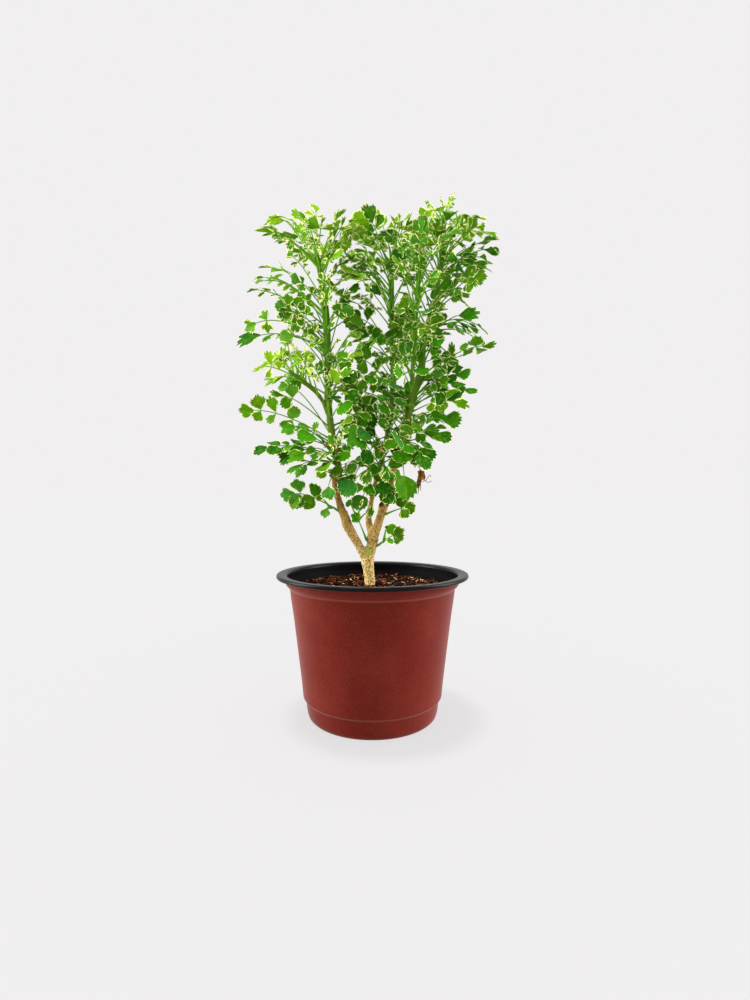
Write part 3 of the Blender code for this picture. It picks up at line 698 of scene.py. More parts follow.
# each stem: rows of x, y, z and radius; fronds by height on the stem, tip, leaflet length and pairs;
# and at its back a number of fronds, the lowest, the highest and the first turn
greenStems = [
    {
        "node": "left_stem",
        "path": [
            (-26.1, -5.7, 181.4, 1.9), (-26.0, -5.8, 190.0, 1.9), (-27.4, -8.0, 199.5, 2.3),
            (-30.4, -11.0, 214.9, 2.4), (-32.8, -12.0, 231.7, 2.4), (-34.2, -12.0, 245.5, 2.6),
            (-34.0, -12.0, 261.0, 2.4), (-34.6, -12.0, 288.0, 2.4), (-36.1, -10.0, 312.4, 2.5),
            (-38.6, -8.0, 334.1, 2.1), (-41.4, -6.0, 351.4, 2.0), (-43.5, -5.0, 359.0, 1.5),
        ],
        "fronds": [
            (354, (-89, -20, 374), 12, 3), (350, (-70, -38, 358), 11, 2), (356, (-64, 0, 399), 12, 1),
            (357, (-35, -28, 383), 11, 2), (355, (-56, 22, 400), 11, 2), (352, (-24, 4, 401), 11, 2),
            (357, (-46, 4, 409), 12, 1), (348, (-92, 4, 388), 12, 1), (345, (-25, -38, 345), 14, 1),
            (302, (-95, -18, 329), 10, 2), (310, (-89, 8, 350), 10, 2), (314, (-60, -34, 331), 9, 2),
            (320, (-68, -10, 362), 9, 1), (286, (-104, -14, 290), 19, 0), (293, (-72, -34, 312), 12, 1),
            (280, (-82, 14, 303), 13, 1), (327, (-6, -28, 334), 15, 1), (270, (-18, -34, 264), 14, 1),
            (214, (-103, -20, 236), 13, 3), (223, (-76, -34, 247), 12, 1),
            (202, (-91, -24, 204), 14, 2), (207, (-61, -6, 224), 13, 1), (197, (-62, -36, 188), 15, 1),
            (211, (-53, -46, 212), 16, 0), (194, (-36, -42, 190), 13, 1),
        ],
        "back": (6, 225, 345, 35),
    },
    {
        "node": "left_stem",
        "path": [
            (-32.6, -12.0, 230.0, 1.4), (-38.0, -14.0, 244.0, 1.4), (-45.0, -18.0, 252.5, 1.3),
            (-53.0, -23.0, 258.0, 1.3), (-60.0, -26.0, 263.0, 1.1),
        ],
        "fronds": [
            (259, (-91, -32, 266), 11, 2), (257, (-76, -44, 252), 12, 1), (262, (-77, -16, 284), 12, 2),
            (253, (-55, -34, 279), 10, 1), (248, (-46, -40, 262), 11, 1),
        ],
        "back": (0, 0, 0, 0),
    },
    {
        "node": "centre_stem",
        "path": [
            (5.0, 21.1, 192.3, 1.8), (7.9, 24.0, 203.0, 1.8), (11.7, 27.0, 219.3, 1.9),
            (14.7, 29.0, 238.2, 2.0), (17.6, 31.0, 268.3, 2.2), (17.4, 32.0, 288.2, 2.2),
            (16.8, 33.0, 314.2, 2.1), (16.1, 34.0, 340.3, 2.1), (16.1, 34.0, 364.3, 1.8),
            (17.0, 33.0, 378.0, 1.4),
        ],
        "fronds": [
            (360, (-9, 14, 410), 15, 1), (366, (10, 2, 388), 11, 2), (372, (21, 30, 413), 11, 2),
            (374, (36, 46, 412), 11, 2), (376, (2, 34, 416), 12, 1), (340, (-14, -4, 352), 12, 1),
            (366, (-20, 38, 398), 12, 2), (370, (-4, 66, 404), 14, 1), (350, (-23, 14, 374), 10, 2),
            (362, (46, 66, 402), 14, 1), (323, (-26, 2, 356), 11, 2), (314, (-16, -8, 329), 11, 2),
            (300, (-21, 4, 316), 14, 1), (284, (-12, -4, 301), 14, 1), (262, (-16, -8, 281), 12, 2),
            (250, (-22, -8, 250), 12, 2), (244, (17, -6, 252), 14, 1), (236, (-17, -16, 222), 21, 0),
            (222, (-6, -22, 196), 15, 1), (212, (-22, -18, 176), 16, 0), (208, (9, -14, 172), 15, 1),
            (202, (-11, -12, 160), 12, 1), (276, (35, -2, 290), 12, 1), (240, (31, -4, 243), 12, 1),
        ],
        "back": (9, 215, 360, 0),
    },
    {
        "node": "mid_stem",
        "path": [
            (29.4, 5.6, 229.0, 1.5), (30.2, -3.0, 243.0, 1.5), (30.8, -9.0, 258.0, 1.5),
            (31.0, -15.0, 275.5, 1.4), (31.8, -20.0, 293.0, 1.3), (33.0, -24.0, 310.4, 1.5),
            (33.7, -27.0, 324.1, 1.5), (34.8, -29.0, 342.0, 1.2),
        ],
        "fronds": [
            (338, (22, -14, 376), 11, 2), (340, (36, -42, 373), 11, 2), (330, (54, -48, 356), 11, 2),
            (320, (14, -42, 343), 12, 2), (311, (46, -56, 324), 14, 1), (297, (20, -46, 309), 13, 1),
            (280, (48, -50, 296), 12, 2), (266, (26, -46, 277), 13, 1), (254, (18, -38, 262), 13, 1),
        ],
        "back": (0, 0, 0, 0),
    },
    {
        "node": "right_stem",
        "path": [
            (22.4, 10.0, 205.4, 2.2), (26.3, 10.0, 225.4, 2.6), (29.5, 9.0, 240.7, 2.7),
            (33.5, 8.0, 253.5, 2.6), (39.0, 6.0, 270.7, 2.6), (40.0, 4.0, 288.7, 2.4),
            (42.0, 4.0, 299.1, 2.2), (46.2, 6.0, 315.0, 2.1), (50.1, 8.0, 330.2, 1.8),
            (53.1, 10.0, 345.6, 1.8), (56.2, 12.0, 362.8, 1.8), (57.5, 12.0, 380.7, 1.5),
            (57.9, 12.0, 399.0, 1.2),
        ],
        "fronds": [
            (397, (66, 4, 417), 10, 1), (388, (44, 18, 415), 10, 1), (375, (78, 0, 390), 11, 2),
            (384, (80, 26, 402), 12, 1), (344, (86, 24, 370), 13, 1), (306, (20, -18, 330), 12, 1),
            (357, (105, 4, 378), 12, 3), (351, (94, -28, 355), 10, 2), (367, (35, -6, 392), 11, 2),
            (365, (57, -28, 384), 14, 0), (372, (62, 48, 398), 14, 1), (327, (95, -4, 358), 13, 2),
            (318, (83, -34, 333), 13, 2), (299, (82, -12, 312), 18, 0), (335, (72, -42, 346), 12, 1),
            (268, (98, -12, 288), 13, 2), (282, (50, -40, 282), 16, 0), (264, (64, -30, 273), 12, 1),
            (244, (83, -14, 252), 14, 2), (238, (68, -34, 238), 12, 1), (226, (67, -18, 226), 17, 0),
            (220, (58, -32, 213), 14, 0), (216, (44, -22, 198), 17, 0), (211, (24, -26, 196), 15, 0),
            (208, (27, -14, 174), 19, 0), (252, (60, -10, 262), 12, 1),
        ],
        "back": (7, 230, 360, 70),
    },
]
sprigs = {  # small shoots: start, tip, leaflet length, pairs
    "low_left_sprig": ((-26.9, -8.6, 160.6), (-70, -17, 173), 11, 2),
    "low_right_sprig": ((10.7, 2.8, 157.4), (34, -4, 160), 11, 1),
    "base_sprig": ((4.7, -0.6, 133.0), (27, -6, 142), 12, 1),
    "inner_twig": ((-4.9, -1.6, 137.6), (-16, -11, 159), 9, 0),
}


def outlineFor(length):
    return next(outline for least, outline in roughOutlines.items() if length >= least)


def roughLeaflet(points, faces, near, far, out, across, up, length, swell, bend):
    # the solids' own leaflet, used here to find room and to place the fine one
    rule = frondRule
    base = sum((points[index] for index in near + far), Vector((0, 0, 0))) / 4
    size = length + 2 * swell
    half = size * rule["leafWidth"] / 2
    thick = rule["thickness"] / 2 + swell
    droop, fold = bend

    def place(along, off):
        lift = size * (fold * abs(off) - droop * along * along)
        return base + out * along * size + across * off * half + up * lift

    outline = outlineFor(length)
    outline = [(a, -o) for a, o in outline] + [(1, 0)] + outline[::-1]
    first = len(points)
    for along, off in outline:
        points += [place(along, off) + up * thick, place(along, off) - up * thick]
    rim = [near] + [(first + 2 * i, first + 2 * i + 1) for i in range(len(outline))] + [far]
    flat = [(0, -rule["neck"] / half)] + outline + [(0, rule["neck"] / half)]
    flat = [Vector((along * size, off * half, 0)) for along, off in flat]
    for triangle in tessellate_polygon([flat]):
        for level in (0, 1):
            faces.append([rim[corner][level] for corner in triangle])
    for here, there in zip(rim, rim[1:]):
        faces.append((here[0], there[0], there[1]))
        faces.append((here[0], there[1], here[1]))


def frondCurve(root, tip, leaf, facing, arch):
    # the arched stalk: a point and a frame for each share of its length
    bow = root.lerp(tip, 0.5) + upward * (tip - root).length * arch
    leaf = min(leaf, frondRule["leafMost"] * (tip - bow).length)
    end = tip - (tip - bow).normalized() * leaf

    def along(t):
        return root * (1 - t) ** 2 + bow * 2 * t * (1 - t) + end * t * t

    def axes(t):
        ahead = ((bow - root) * (1 - t) + (end - bow) * t).normalized()
        side = facing.cross(ahead).normalized()
        return ahead, side, ahead.cross(side)

    return along, axes, leaf, (end - root).length


def curveOf(form):
    root, tip, leaf, _, facing, _, arch = form
    return frondCurve(root, tip, leaf, facing, arch)


def roughFrond(root, tip, leaf, pairs, facing, seed, arch, swell=0.0, bend=leafBend):
    # the solids' frond; leaflets lists (share along the stalk, out, up, length)
    rule = frondRule
    draw = random.Random(seed)
    along, axes, leaf, length = frondCurve(root, tip, leaf, facing, arch)
    highest = min(rule["pairsTo"], 1 - rule["endSpacing"] * leaf / length)
    room = (highest - rule["pairsFrom"]) * length
    pairs = min(pairs, 1 + max(int(room / (leaf * rule["pairSpacing"])), 0))
    stations = [0.0, min(rule["rootSpan"] / length, rule["rootMost"])]
    if not pairs:
        stations.append(rule["bareStation"])
    leafy = []
    for pair in range(pairs):
        share = pair / (pairs - 1) if pairs > 1 else rule["lonePair"]
        middle = rule["pairsFrom"] + (highest - rule["pairsFrom"]) * share
        middle = max(middle, stations[-1] + rule["neckClear"] / length)
        leafy.append(len(stations))
        stations += [middle - rule["neck"] / length, middle + rule["neck"] / length]
    stations.append(1.0)

    points, faces = [], []
    for index, t in enumerate(stations):
        ahead, side, up = axes(t)
        slim = 1.0 if index > 1 else rule["rootSwell"]
        wide = side * (rule["stalkWidth"] / 2 * slim + swell)
        high = up * (rule["stalkHeight"] / 2 * slim + swell)
        centre = along(t)
        points += [centre - wide + high, centre + wide + high]
        points += [centre + wide - high, centre - wide - high]
        if not index:
            faces.append((0, 1, 2, 3))
            continue
        low = 4 * (index - 1)
        for corner in range(4):
            if index - 1 in leafy and corner in (1, 3):
                continue
            after = (corner + 1) % 4
            faces.append((low + corner, low + after, low + 4 + after, low + 4 + corner))

    def twisted(out, up, most):
        return Quaternion(out, math.radians(draw.uniform(-most, most))) @ up

    starts, leaflets = [], []
    for index in leafy:
        middle = (stations[index] + stations[index + 1]) / 2
        ahead, side, up = axes(middle)
        low, high = 4 * index, 4 * index + 4
        for right in (True, False):
            angle = rule["sideAngle"] + draw.uniform(-rule["angleWander"], rule["angleWander"])
            angle = math.radians(angle)
            out = ahead * math.cos(angle) + side * math.sin(angle) * (1 if right else -1)
            lifted = twisted(out, up, rule["sideTwist"])
            across = out.cross(lifted) if right else lifted.cross(out)
            near = (low + 1, low + 2) if right else (low, low + 3)
            far = (high + 1, high + 2) if right else (high, high + 3)
            size = leaf * rule["sideShare"] * draw.uniform(*rule["sideSizes"])
            starts.append(len(faces))
            roughLeaflet(points, faces, near, far, out, across, lifted, size, swell, bend)
            leaflets.append((middle, out, lifted, size))
    ahead, side, up = axes(1.0)
    last = 4 * (len(stations) - 1)
    lifted = twisted(ahead, up, rule["endTwist"])
    across = lifted.cross(ahead)
    near, far = (last, last + 3), (last + 1, last + 2)
    starts.append(len(faces))
    roughLeaflet(points, faces, near, far, ahead, across, lifted, leaf, swell, bend)
    leaflets.append((1.0, ahead, lifted, leaf))
    return points, faces, starts, leaflets


def facingOf(tip, lean):
    rule = frondRule
    if lean is None:
        below = min(max((rule["crown"] - tip.z) / rule["crownDepth"], 0.0), 1.0)
        lean = rule["leanHigh"] + (rule["leanLow"] - rule["leanHigh"]) * below
    ahead = -rule["faceAhead"] if tip.y < rule["backFrom"] else rule["faceAhead"]
    outwards = Vector((rule["faceSideways"] * tip.x, tip.y + ahead, 0)).normalized()
    return (upward * (1 - lean) + outwards * lean).normalized()


thicket = []  # what has grown so far, as trees that a new frond has to clear


def hasRoom(points, faces, starts):
    leaves = [faces[first:end] for first, end in zip(starts, starts[1:] + [len(faces)])]
    trees = [BVHTree.FromPolygons(points, leaf) for leaf in leaves]
    if any(one.overlap(other) for one, other in combinations(trees, 2)):
        return False
    tree = BVHTree.FromPolygons(points, faces[frondRule["rootFaces"]:])
    return not any(tree.overlap(other) for other in thicket)


def growFrond(
    root, tip, leaf, pairs, seed, bend=leafBend, arch=None, lean=None, tries=None, gap=None, shows=None
):
    # the first frond near its wanted tip that clears the rest, or None
    rule = frondRule
    draw = random.Random(seed)
    leaf *= rule["growth"]
    arch, tries, gap = arch or rule["arch"], tries or rule["tries"], gap or rule["clearance"]
    for attempt in range(tries):
        stray = rule["stray"] * attempt / tries
        moved = tip + Vector([draw.uniform(-stray, stray) for _ in range(3)])
        wander = Vector([draw.uniform(-rule["faceWander"], rule["faceWander"]) for _ in range(3)])
        facing = facingOf(tip, lean) + wander
        chord = (moved - root).normalized()
        facing = (facing - chord * facing.dot(chord)).normalized()
        shown = max(pairs - (attempt > tries // 2), 0)
        form = (root, moved, leaf, shown, facing, seed, arch)
        if shows and not shows(form):
            continue
        if hasRoom(*roughFrond(*form, swell=gap, bend=bend)[:3]):
            points, faces, _, leaflets = roughFrond(*form, bend=bend)
            thicket.append(BVHTree.FromPolygons(points, faces))
            return {"form": form, "leaflets": leaflets, "extra": False}
    return None


def atHeight(path, height):
    for low, high in zip(path, path[1:]):
        if low[2] <= height <= high[2]:
            share = (height - low[2]) / (high[2] - low[2])
            return Vector(low[:3]).lerp(Vector(high[:3]), share)
    return Vector(path[0][:3] if height < path[0][2] else path[-1][:3])


def backFronds(path, rule):
    count, low, high, turn = rule
    rows = []
    for index in range(count):
        height = low + (high - low) * index / max(count - 1, 1)
        azimuth = math.radians(
            (index * frondRule["backTurn"] + turn) % frondRule["backArc"] + frondRule["backStart"]
        )
        sway = math.sin(frondRule["backSway"] * index + turn)
        reach = frondRule["backReach"] + frondRule["backVary"] * sway
        rise = (height - frondRule["backLow"]) / frondRule["backHeight"]
        rise = frondRule["backRise"][0] + frondRule["backRise"][1] * rise
        way = Vector((math.cos(azimuth), math.sin(azimuth), rise))
        rows.append((height, atHeight(path, height) + way * reach, frondRule["backLeaf"] + index % 3, 1))
    return rows


def growPlant():
    # every frond of the solids, in the order in which they found their room
    for limb in woodLimbs + woodShape["stubs"]:
        thicket.append(BVHTree.FromPolygons(*tubeShape(limb, frondRule["limbSides"])))
    grown = []
    for name, (start, tip, leaf, pairs) in sprigs.items():
        frond = growFrond(Vector(start), Vector(tip), leaf, pairs, name)
        grown.append({"node": name, "stem": None, **frond})
    start, tip, leaf, pairs = deadLeaf["frond"]
    frond = growFrond(Vector(start), Vector(tip), leaf, pairs, "dead leaf", bend=deadBend)
    grown.append({"node": "dead_leaf", "stem": None, **frond})
    for stem in greenStems:
        thicket.append(BVHTree.FromPolygons(*tubeShape(stem["path"], frondRule["stemSides"])))
    for number, stem in enumerate(greenStems):
        rows = stem["fronds"] + backFronds(stem["path"], stem["back"])
        for index, (height, tip, leaf, pairs) in enumerate(rows):
            root = atHeight(stem["path"], height)
            frond = growFrond(root, Vector(tip), leaf, pairs, f"stem {number} {index}")
            if frond:
                grown.append({"node": stem["node"], "stem": number, **frond})
    return grown


# leaflets
cutKeys = (
    "spread", "shoulder", "lobes", "lobeDepth", "teeth", "toothDepth", "toothed",
    "droop", "fold", "cup", "wave",
)
leafCuts = {  # half angle, how soon the sides fall in, lobes, teeth and the bends of one leaflet
    "round": (80, 0.7, 1, 0.0, 12, 0.11, 0.84, 0.12, 0.1, 0.16, 0.05),
    "fan": (52, 0.24, 3, 0.15, 11, 0.15, 0.97, 0.2, 0.14, 0.16, 0.07),
    "wedge": (36, 0.15, 1, 0.0, 8, 0.13, 0.97, 0.16, 0.2, 0.08, 0.05),
    "trefoil": (56, 0.28, 3, 0.32, 12, 0.13, 0.99, 0.22, 0.16, 0.16, 0.08),
    "cut": (44, 0.3, 3, 0.58, 9, 0.17, 0.99, 0.3, 0.2, 0.12, 0.1),
    "oak": (36, 0.44, 5, 0.2, 12, 0.11, 0.97, 0.32, 0.18, 0.0, 0.07),
    "feather": (21, 0.6, 5, 0.32, 9, 0.16, 0.97, 0.46, 0.25, 0.0, 0.05),
    "withered": (14, 0.6, 5, 0.45, 9, 0.35, 1.0, 0.35, 1.4, 0.3, 0.16),
    "shrivelled": (34, 0.5, 5, 0.5, 9, 0.3, 1.0, 0.7, 0.9, 0.9, 0.22),
}
leafCuts = {name: dict(zip(cutKeys, values)) for name, values in leafCuts.items()}
bladeGrades = [  # least size, most teeth, rings: a small leaflet is drawn with fewer
    (12.5, 14, (0.24, 0.48, 0.70, 0.87, 1.0)), (8.5, 10, (0.32, 0.62, 0.85, 1.0)),
    (5.5, 7, (0.45, 0.80, 1.0)), (0.0, 5, (0.58, 1.0)),
]
bladeThickness = 0.16  # half of it, at the middle of a leaflet
bladeVary = {  # how far leaflets of one cut differ
    "spread": (0.86, 1.12), "skew": (-0.18, 0.18), "bend": (0.5, 1.6), "cup": (-0.5, 1.3),
    "tooth": (0.5, 1.4),
}


def newGrowth():
    return {"points": [], "faces": [], "finish": [], "place": [], "look": []}


def addBlade(growth, base, out, up, size, cut, look, draw):
    # two faces that meet at the rim; place keeps (across, mm from the rim, which leaf)
    shape = leafCuts[cut]
    most, rings = next(grade[1:] for grade in bladeGrades if size >= grade[0])
    teeth = min(shape["teeth"], most)
    rays = 2 * teeth + 1
    across = out.cross(up).normalized()
    up = across.cross(out).normalized()
    spread = math.radians(shape["spread"]) * draw.uniform(*bladeVary["spread"])
    *look, deep = look
    skew, phase, turn = draw.uniform(*bladeVary["skew"]), draw.uniform(0, 6.28), draw.random() * deep
    droop, fold = (shape[key] * draw.uniform(*bladeVary["bend"]) for key in ("droop", "fold"))
    cup, wave = shape["cup"] * draw.uniform(*bladeVary["cup"]), shape["wave"]
    points, places, looks = growth["points"], growth["place"], growth["look"]
    first = len(points)
    points.append(base)
    places.append((0.0, size * 0.2, turn))
    looks.append((*look, 0.5))
    layers = ([], [])
    for ray in range(rays):
        s = 2 * ray / (rays - 1) - 1
        angle = spread * (s + skew * (1 - s * s))
        edge = math.cos(abs(s) * math.pi * 0.478) ** shape["shoulder"]
        between = (0.5 - 0.5 * math.cos(math.pi * shape["lobes"] * s)) ** 2 * (shape["lobes"] > 1)
        cutIn = shape["toothDepth"] * draw.uniform(*bladeVary["tooth"])
        cutIn *= ray % 2 == 0 and abs(s) < shape["toothed"]
        rows = ([], [])
        for f in rings:
            radius = f * edge * (1 - shape["lobeDepth"] * between * f) * (1 - cutIn * (f == 1))
            x, y = radius * math.sin(angle), radius * math.cos(angle)
            z = fold * abs(x) - droop * y * y + cup * x * x
            z += wave * f**3 * math.sin(4.2 * angle + phase)
            middle = base + (out * y + across * x + up * z) * size
            rim = f == 1 or ray in (0, rays - 1)
            inwards = min(edge - radius, radius * math.sin(spread * (1 - abs(s))) + max(0.35 - f, 0) * 0.5)
            for side in (0, 1):
                if rim and side:
                    rows[1].append(rows[0][-1])
                    continue
                lift = 0 if rim else bladeThickness * (1 - f**4) * (1 - 2 * side)
                rows[side].append(len(points))
                points.append(middle + up * lift)
                places.append((s, max(inwards, 0.0) * size * (f < 1), turn))
                looks.append((*look, 0.5 if rim else float(side)))
        for side in (0, 1):
            layers[side].append(rows[side])
    faces = growth["faces"]
    count = len(faces)
    for side, layer in enumerate(layers):
        for here, there in zip(layer, layer[1:]):
            cells = [(first, there[0], here[0])]
            for low in range(len(rings) - 1):
                cells.append((there[low], there[low + 1], here[low + 1], here[low]))
            faces += [cell[::-1] if side else cell for cell in cells]
    growth["finish"] += [0] * (len(faces) - count)


def addStalk(growth, path, sides, look, old=0.0):
    points, faces = tubeShape(path, sides)
    first = len(growth["points"])
    growth["points"] += points
    growth["faces"] += [tuple(index + first for index in face) for face in faces]
    growth["finish"] += [1] * len(faces)
    growth["place"] += [(0.0, 0.0, 0.5)] * len(points)
    growth["look"] += [(*look, old)] * len(points)


def shortStalk(growth, start, end, look, thick=0.34):
    path = [(*start, thick), (*start.lerp(end, 0.5), thick * 0.85), (*end, thick * 0.7)]
    addStalk(growth, path, 4, look)


pinnaPlans = {  # by number of leaflets: reach of the stalk, then (place, angle, size) of each leaflet
    1: (0.08, [(1.0, 0, 0.94)]),
    3: (0.30, [(1.0, 0, 0.72), (0.72, 60, 0.60), (0.60, -60, 0.60)]),
    5: (0.48, [(1.0, 0, 0.56), (0.82, 58, 0.48), (0.74, -58, 0.48), (0.40, 66, 0.46), (0.30, -66, 0.46)]),
}
pinnaVary = {
    "turn": (-12, 12), "tip": (-0.3, 0.3), "cream": (0.4, 1.5), "lime": (0.7, 1.25), "length": (0.88, 1.12),
}


def addPinna(growth, base, out, up, size, style, draw):
    # one leaflet of the solids: a single toothed blade, or three or five smaller ones on a stalk
    look = (style["cream"], style["lime"])
    across = out.cross(up).normalized()
    reach, plan = pinnaPlans[style["split"]]
    neck = base + out * reach * size
    shortStalk(growth, base, neck, look, 0.40)
    for share, angle, part in plan:
        turn = math.radians(angle + draw.uniform(*pinnaVary["turn"]))
        way = (out * math.cos(turn) + across * math.sin(turn)).normalized()
        tipped = (up + Vector([draw.uniform(*pinnaVary["tip"]) for _ in range(3)])).normalized()
        start = base.lerp(neck, share)
        end = start + way * (size * 0.05 if share < 1 else -0.3)
        if share < 1:
            shortStalk(growth, start, end + way * 0.4, look)
        cream, lime = (style[key] * draw.uniform(*pinnaVary[key]) for key in ("cream", "lime"))
        length = size * part * draw.uniform(*pinnaVary["length"])
        shade = (cream, lime, style["deep"])
        addBlade(growth, end, way, tipped, length, draw.choice(style["cuts"]), shade, draw)


# foliage
leafTones = {
    "darkGreen": (0.009, 0.088, 0.0012),
    "green": (0.034, 0.205, 0.002),
    "blueGreen": (0.022, 0.160, 0.024),
    "paleGreen": (0.130, 0.330, 0.012),
    "lime": (0.240, 0.455, 0.003),
    "cream": (0.860, 0.880, 0.330),
    "underside": (0.058, 0.230, 0.008),
    "vein": (0.100, 0.300, 0.008),
    "stem": (0.078, 0.245, 0.004),
    "stemYoung": (0.180, 0.400, 0.008),
    "stemDark": (0.035, 0.110, 0.004),
    "stemOld": (0.130, 0.140, 0.014),
    "dry": (0.420, 0.190, 0.070),
    "scar": (0.170, 0.085, 0.022),
    "dead": (0.150, 0.058, 0.012),
    "deadPale": (0.400, 0.225, 0.065),
}
styleKeys = ("cuts", "cream", "lime", "splits", "grow", "deep")
# cuts to choose from, cream, lime, numbers of parts to choose from, how much larger a leaflet is than the
# one of the rule, and a share that keeps leaves dark where it is below 1
leafStyles = {
    "lime": (("cut", "oak", "feather", "oak", "fan"), 0.36, 0.74, (1, 1, 3), 1.35, 1.0),
    "crown": (("oak", "wedge", "cut", "feather"), 0.52, 0.52, (3, 1, 1), 1.15, 1.0),
    "fine": (("fan", "wedge", "oak", "cut"), 0.28, 0.34, (1, 3, 1), 1.15, 1.0),
    "middle": (("fan", "round", "wedge", "oak"), 0.22, 0.12, (1, 1, 1), 1.1, 1.0),
    "side": (("fan", "wedge", "round", "oak"), 0.2, 0.08, (1, 1, 3), 1.12, 1.0),
    "low": (("round", "fan", "wedge", "round"), 0.22, 0.04, (1, 1, 1), 1.12, 1.0),
    "dark": (("oak", "wedge", "fan"), 0.14, 0.0, (1,), 1.25, 0.6),
    "pale": (("fan", "oak", "round"), 0.36, 0.22, (1,), 1.12, 1.0),
    "sprig": (("round", "fan", "round"), 0.2, 0.1, (1,), 1.38, 1.0),
    "big": (("fan", "wedge", "round"), 0.12, 0.0, (1,), 1.0, 0.6),
}
leafStyles = {kind: dict(zip(styleKeys, values)) for kind, values in leafStyles.items()}
# fronds of the solids with a cut of their own, by their seeds
ownCuts = {"stem 0 13": "oak", "stem 2 17": "fan", "stem 4 24": "round", "stem 4 13": "oak"}
foliageShape = {
    "stemSides": 14,
    "stemSteps": 9,  # between two rows of its path
    "stemTone": (0.0, 0.15),  # cream and lime
    "stemTip": ((1.2, 0.8), (2.2, 0.5), (2.8, 0.2)),  # it closes round: how far on, share of the radius
    "swell": (3.0, 1.4, 0.28),  # of a stem where fronds leave it: spread, most, thickness
    "stalkSides": 6,
    "stalkRadius": 0.56,
    "stalkTaper": 0.24,
    "rootRadius": (0.6, 0.3),  # how much thicker a stalk starts: on the solids' fronds, on the others
    "rootFade": 2.6,
    "rootDepth": 2.2,  # how far inside the wood a small shoot starts
    "extraFrom": 0.48,  # leaflets between those of the solids: where along the stalk the first may be
    "extraEnd": 0.4,  # how far they keep from the end and from the others, in lengths of the end leaflet
    "extraApart": 0.5,
    "extraStep": 0.62,
    "extraSize": (0.5, 0.8),
    "extraAngle": (52, 72),
    "extraTwist": (-25, 25),
    "extraClear": 1.2,
    "fiveFrom": 15,  # from this length on a split leaflet has five parts
    "bigFrom": 15.5,
    "limeFrom": 338,  # the heights on the left stem from which its leaves are paler, and young
    "youngFrom": 368,
    "rightYoungFrom": 404,
    "paleTo": 262,  # on the left stem
    "lowTo": 232,
    "darkSide": 30,  # right of here and between these heights the leaves are dark and whole
    "darkBand": (334, 380),
    "middle": 12,  # how far from here, and how often, leaves are as in the middle of the plant
    "fineReach": 46,
    "fineShare": 0.7,
    "fineFrom": 326,
    "crownFrom": (362, 370),  # in the middle, and elsewhere
    "toneVary": {"cream": 0.15, "lime": 0.12},
}
# what the camera sees of the foliage, brought to the plane of the pot's axis: left and right by height,
# the top from side to side, and the gaps (x, height, half width, half height)
leafSpread = [
    (164, -71, 34), (176, -69, 36), (188, -65, 44), (200, -83, 46), (212, -97, 51), (224, -81, 63),
    (236, -101, 69), (248, -107, 74), (260, -88, 81), (272, -93, 77), (283, -97, 88), (295, -107, 101),
    (307, -107, 95), (319, -93, 81), (328, -89, 83), (333, -100, 85), (343, -98, 96), (350, -84, 97),
    (356, -74, 97), (367, -72, 98),
    (373, -69, 105), (378, -82, 106), (384, -94, 102), (389, -92, 94), (394, -88, 85), (398, -83, 77),
    (402, -26, 62), (410, 44, 68),
]
crownTop = [
    (-92, 388), (-81, 397), (-57, 399), (-50, 394), (-42, 391), (-31, 392), (-20, 403), (-12, 406), (6, 395),
    (14, 394), (22, 397), (34, 400), (42, 401), (48, 408), (66, 408), (75, 397), (91, 392), (106, 374),
]
leafGaps = [
    (-57, 366, 12, 7), (-77, 366, 13, 9.5), (-75, 349, 11, 7), (-54, 339, 10, 8), (-1, 320, 9, 11),
    (20, 333, 7, 9), (-19, 308, 9, 5.5), (0, 290, 7.5, 6), (23, 266, 7.5, 8), (46, 278, 8, 6.5),
    (-57, 237, 19, 13), (-84, 229, 17, 7), (76, 318, 11, 8), (77, 336, 9, 6), (-48, 257, 9, 9),
    (49, 217, 8, 6), (-49, 194, 6, 5), (-36, 184, 6, 5), (-86, 262, 8, 9),
    (-80, 381, 7, 5), (86, 371, 6, 5), (31, 271, 5, 5), (19, 360, 5, 5), (-36, 383, 5, 5), (43, 331, 5, 7),
]
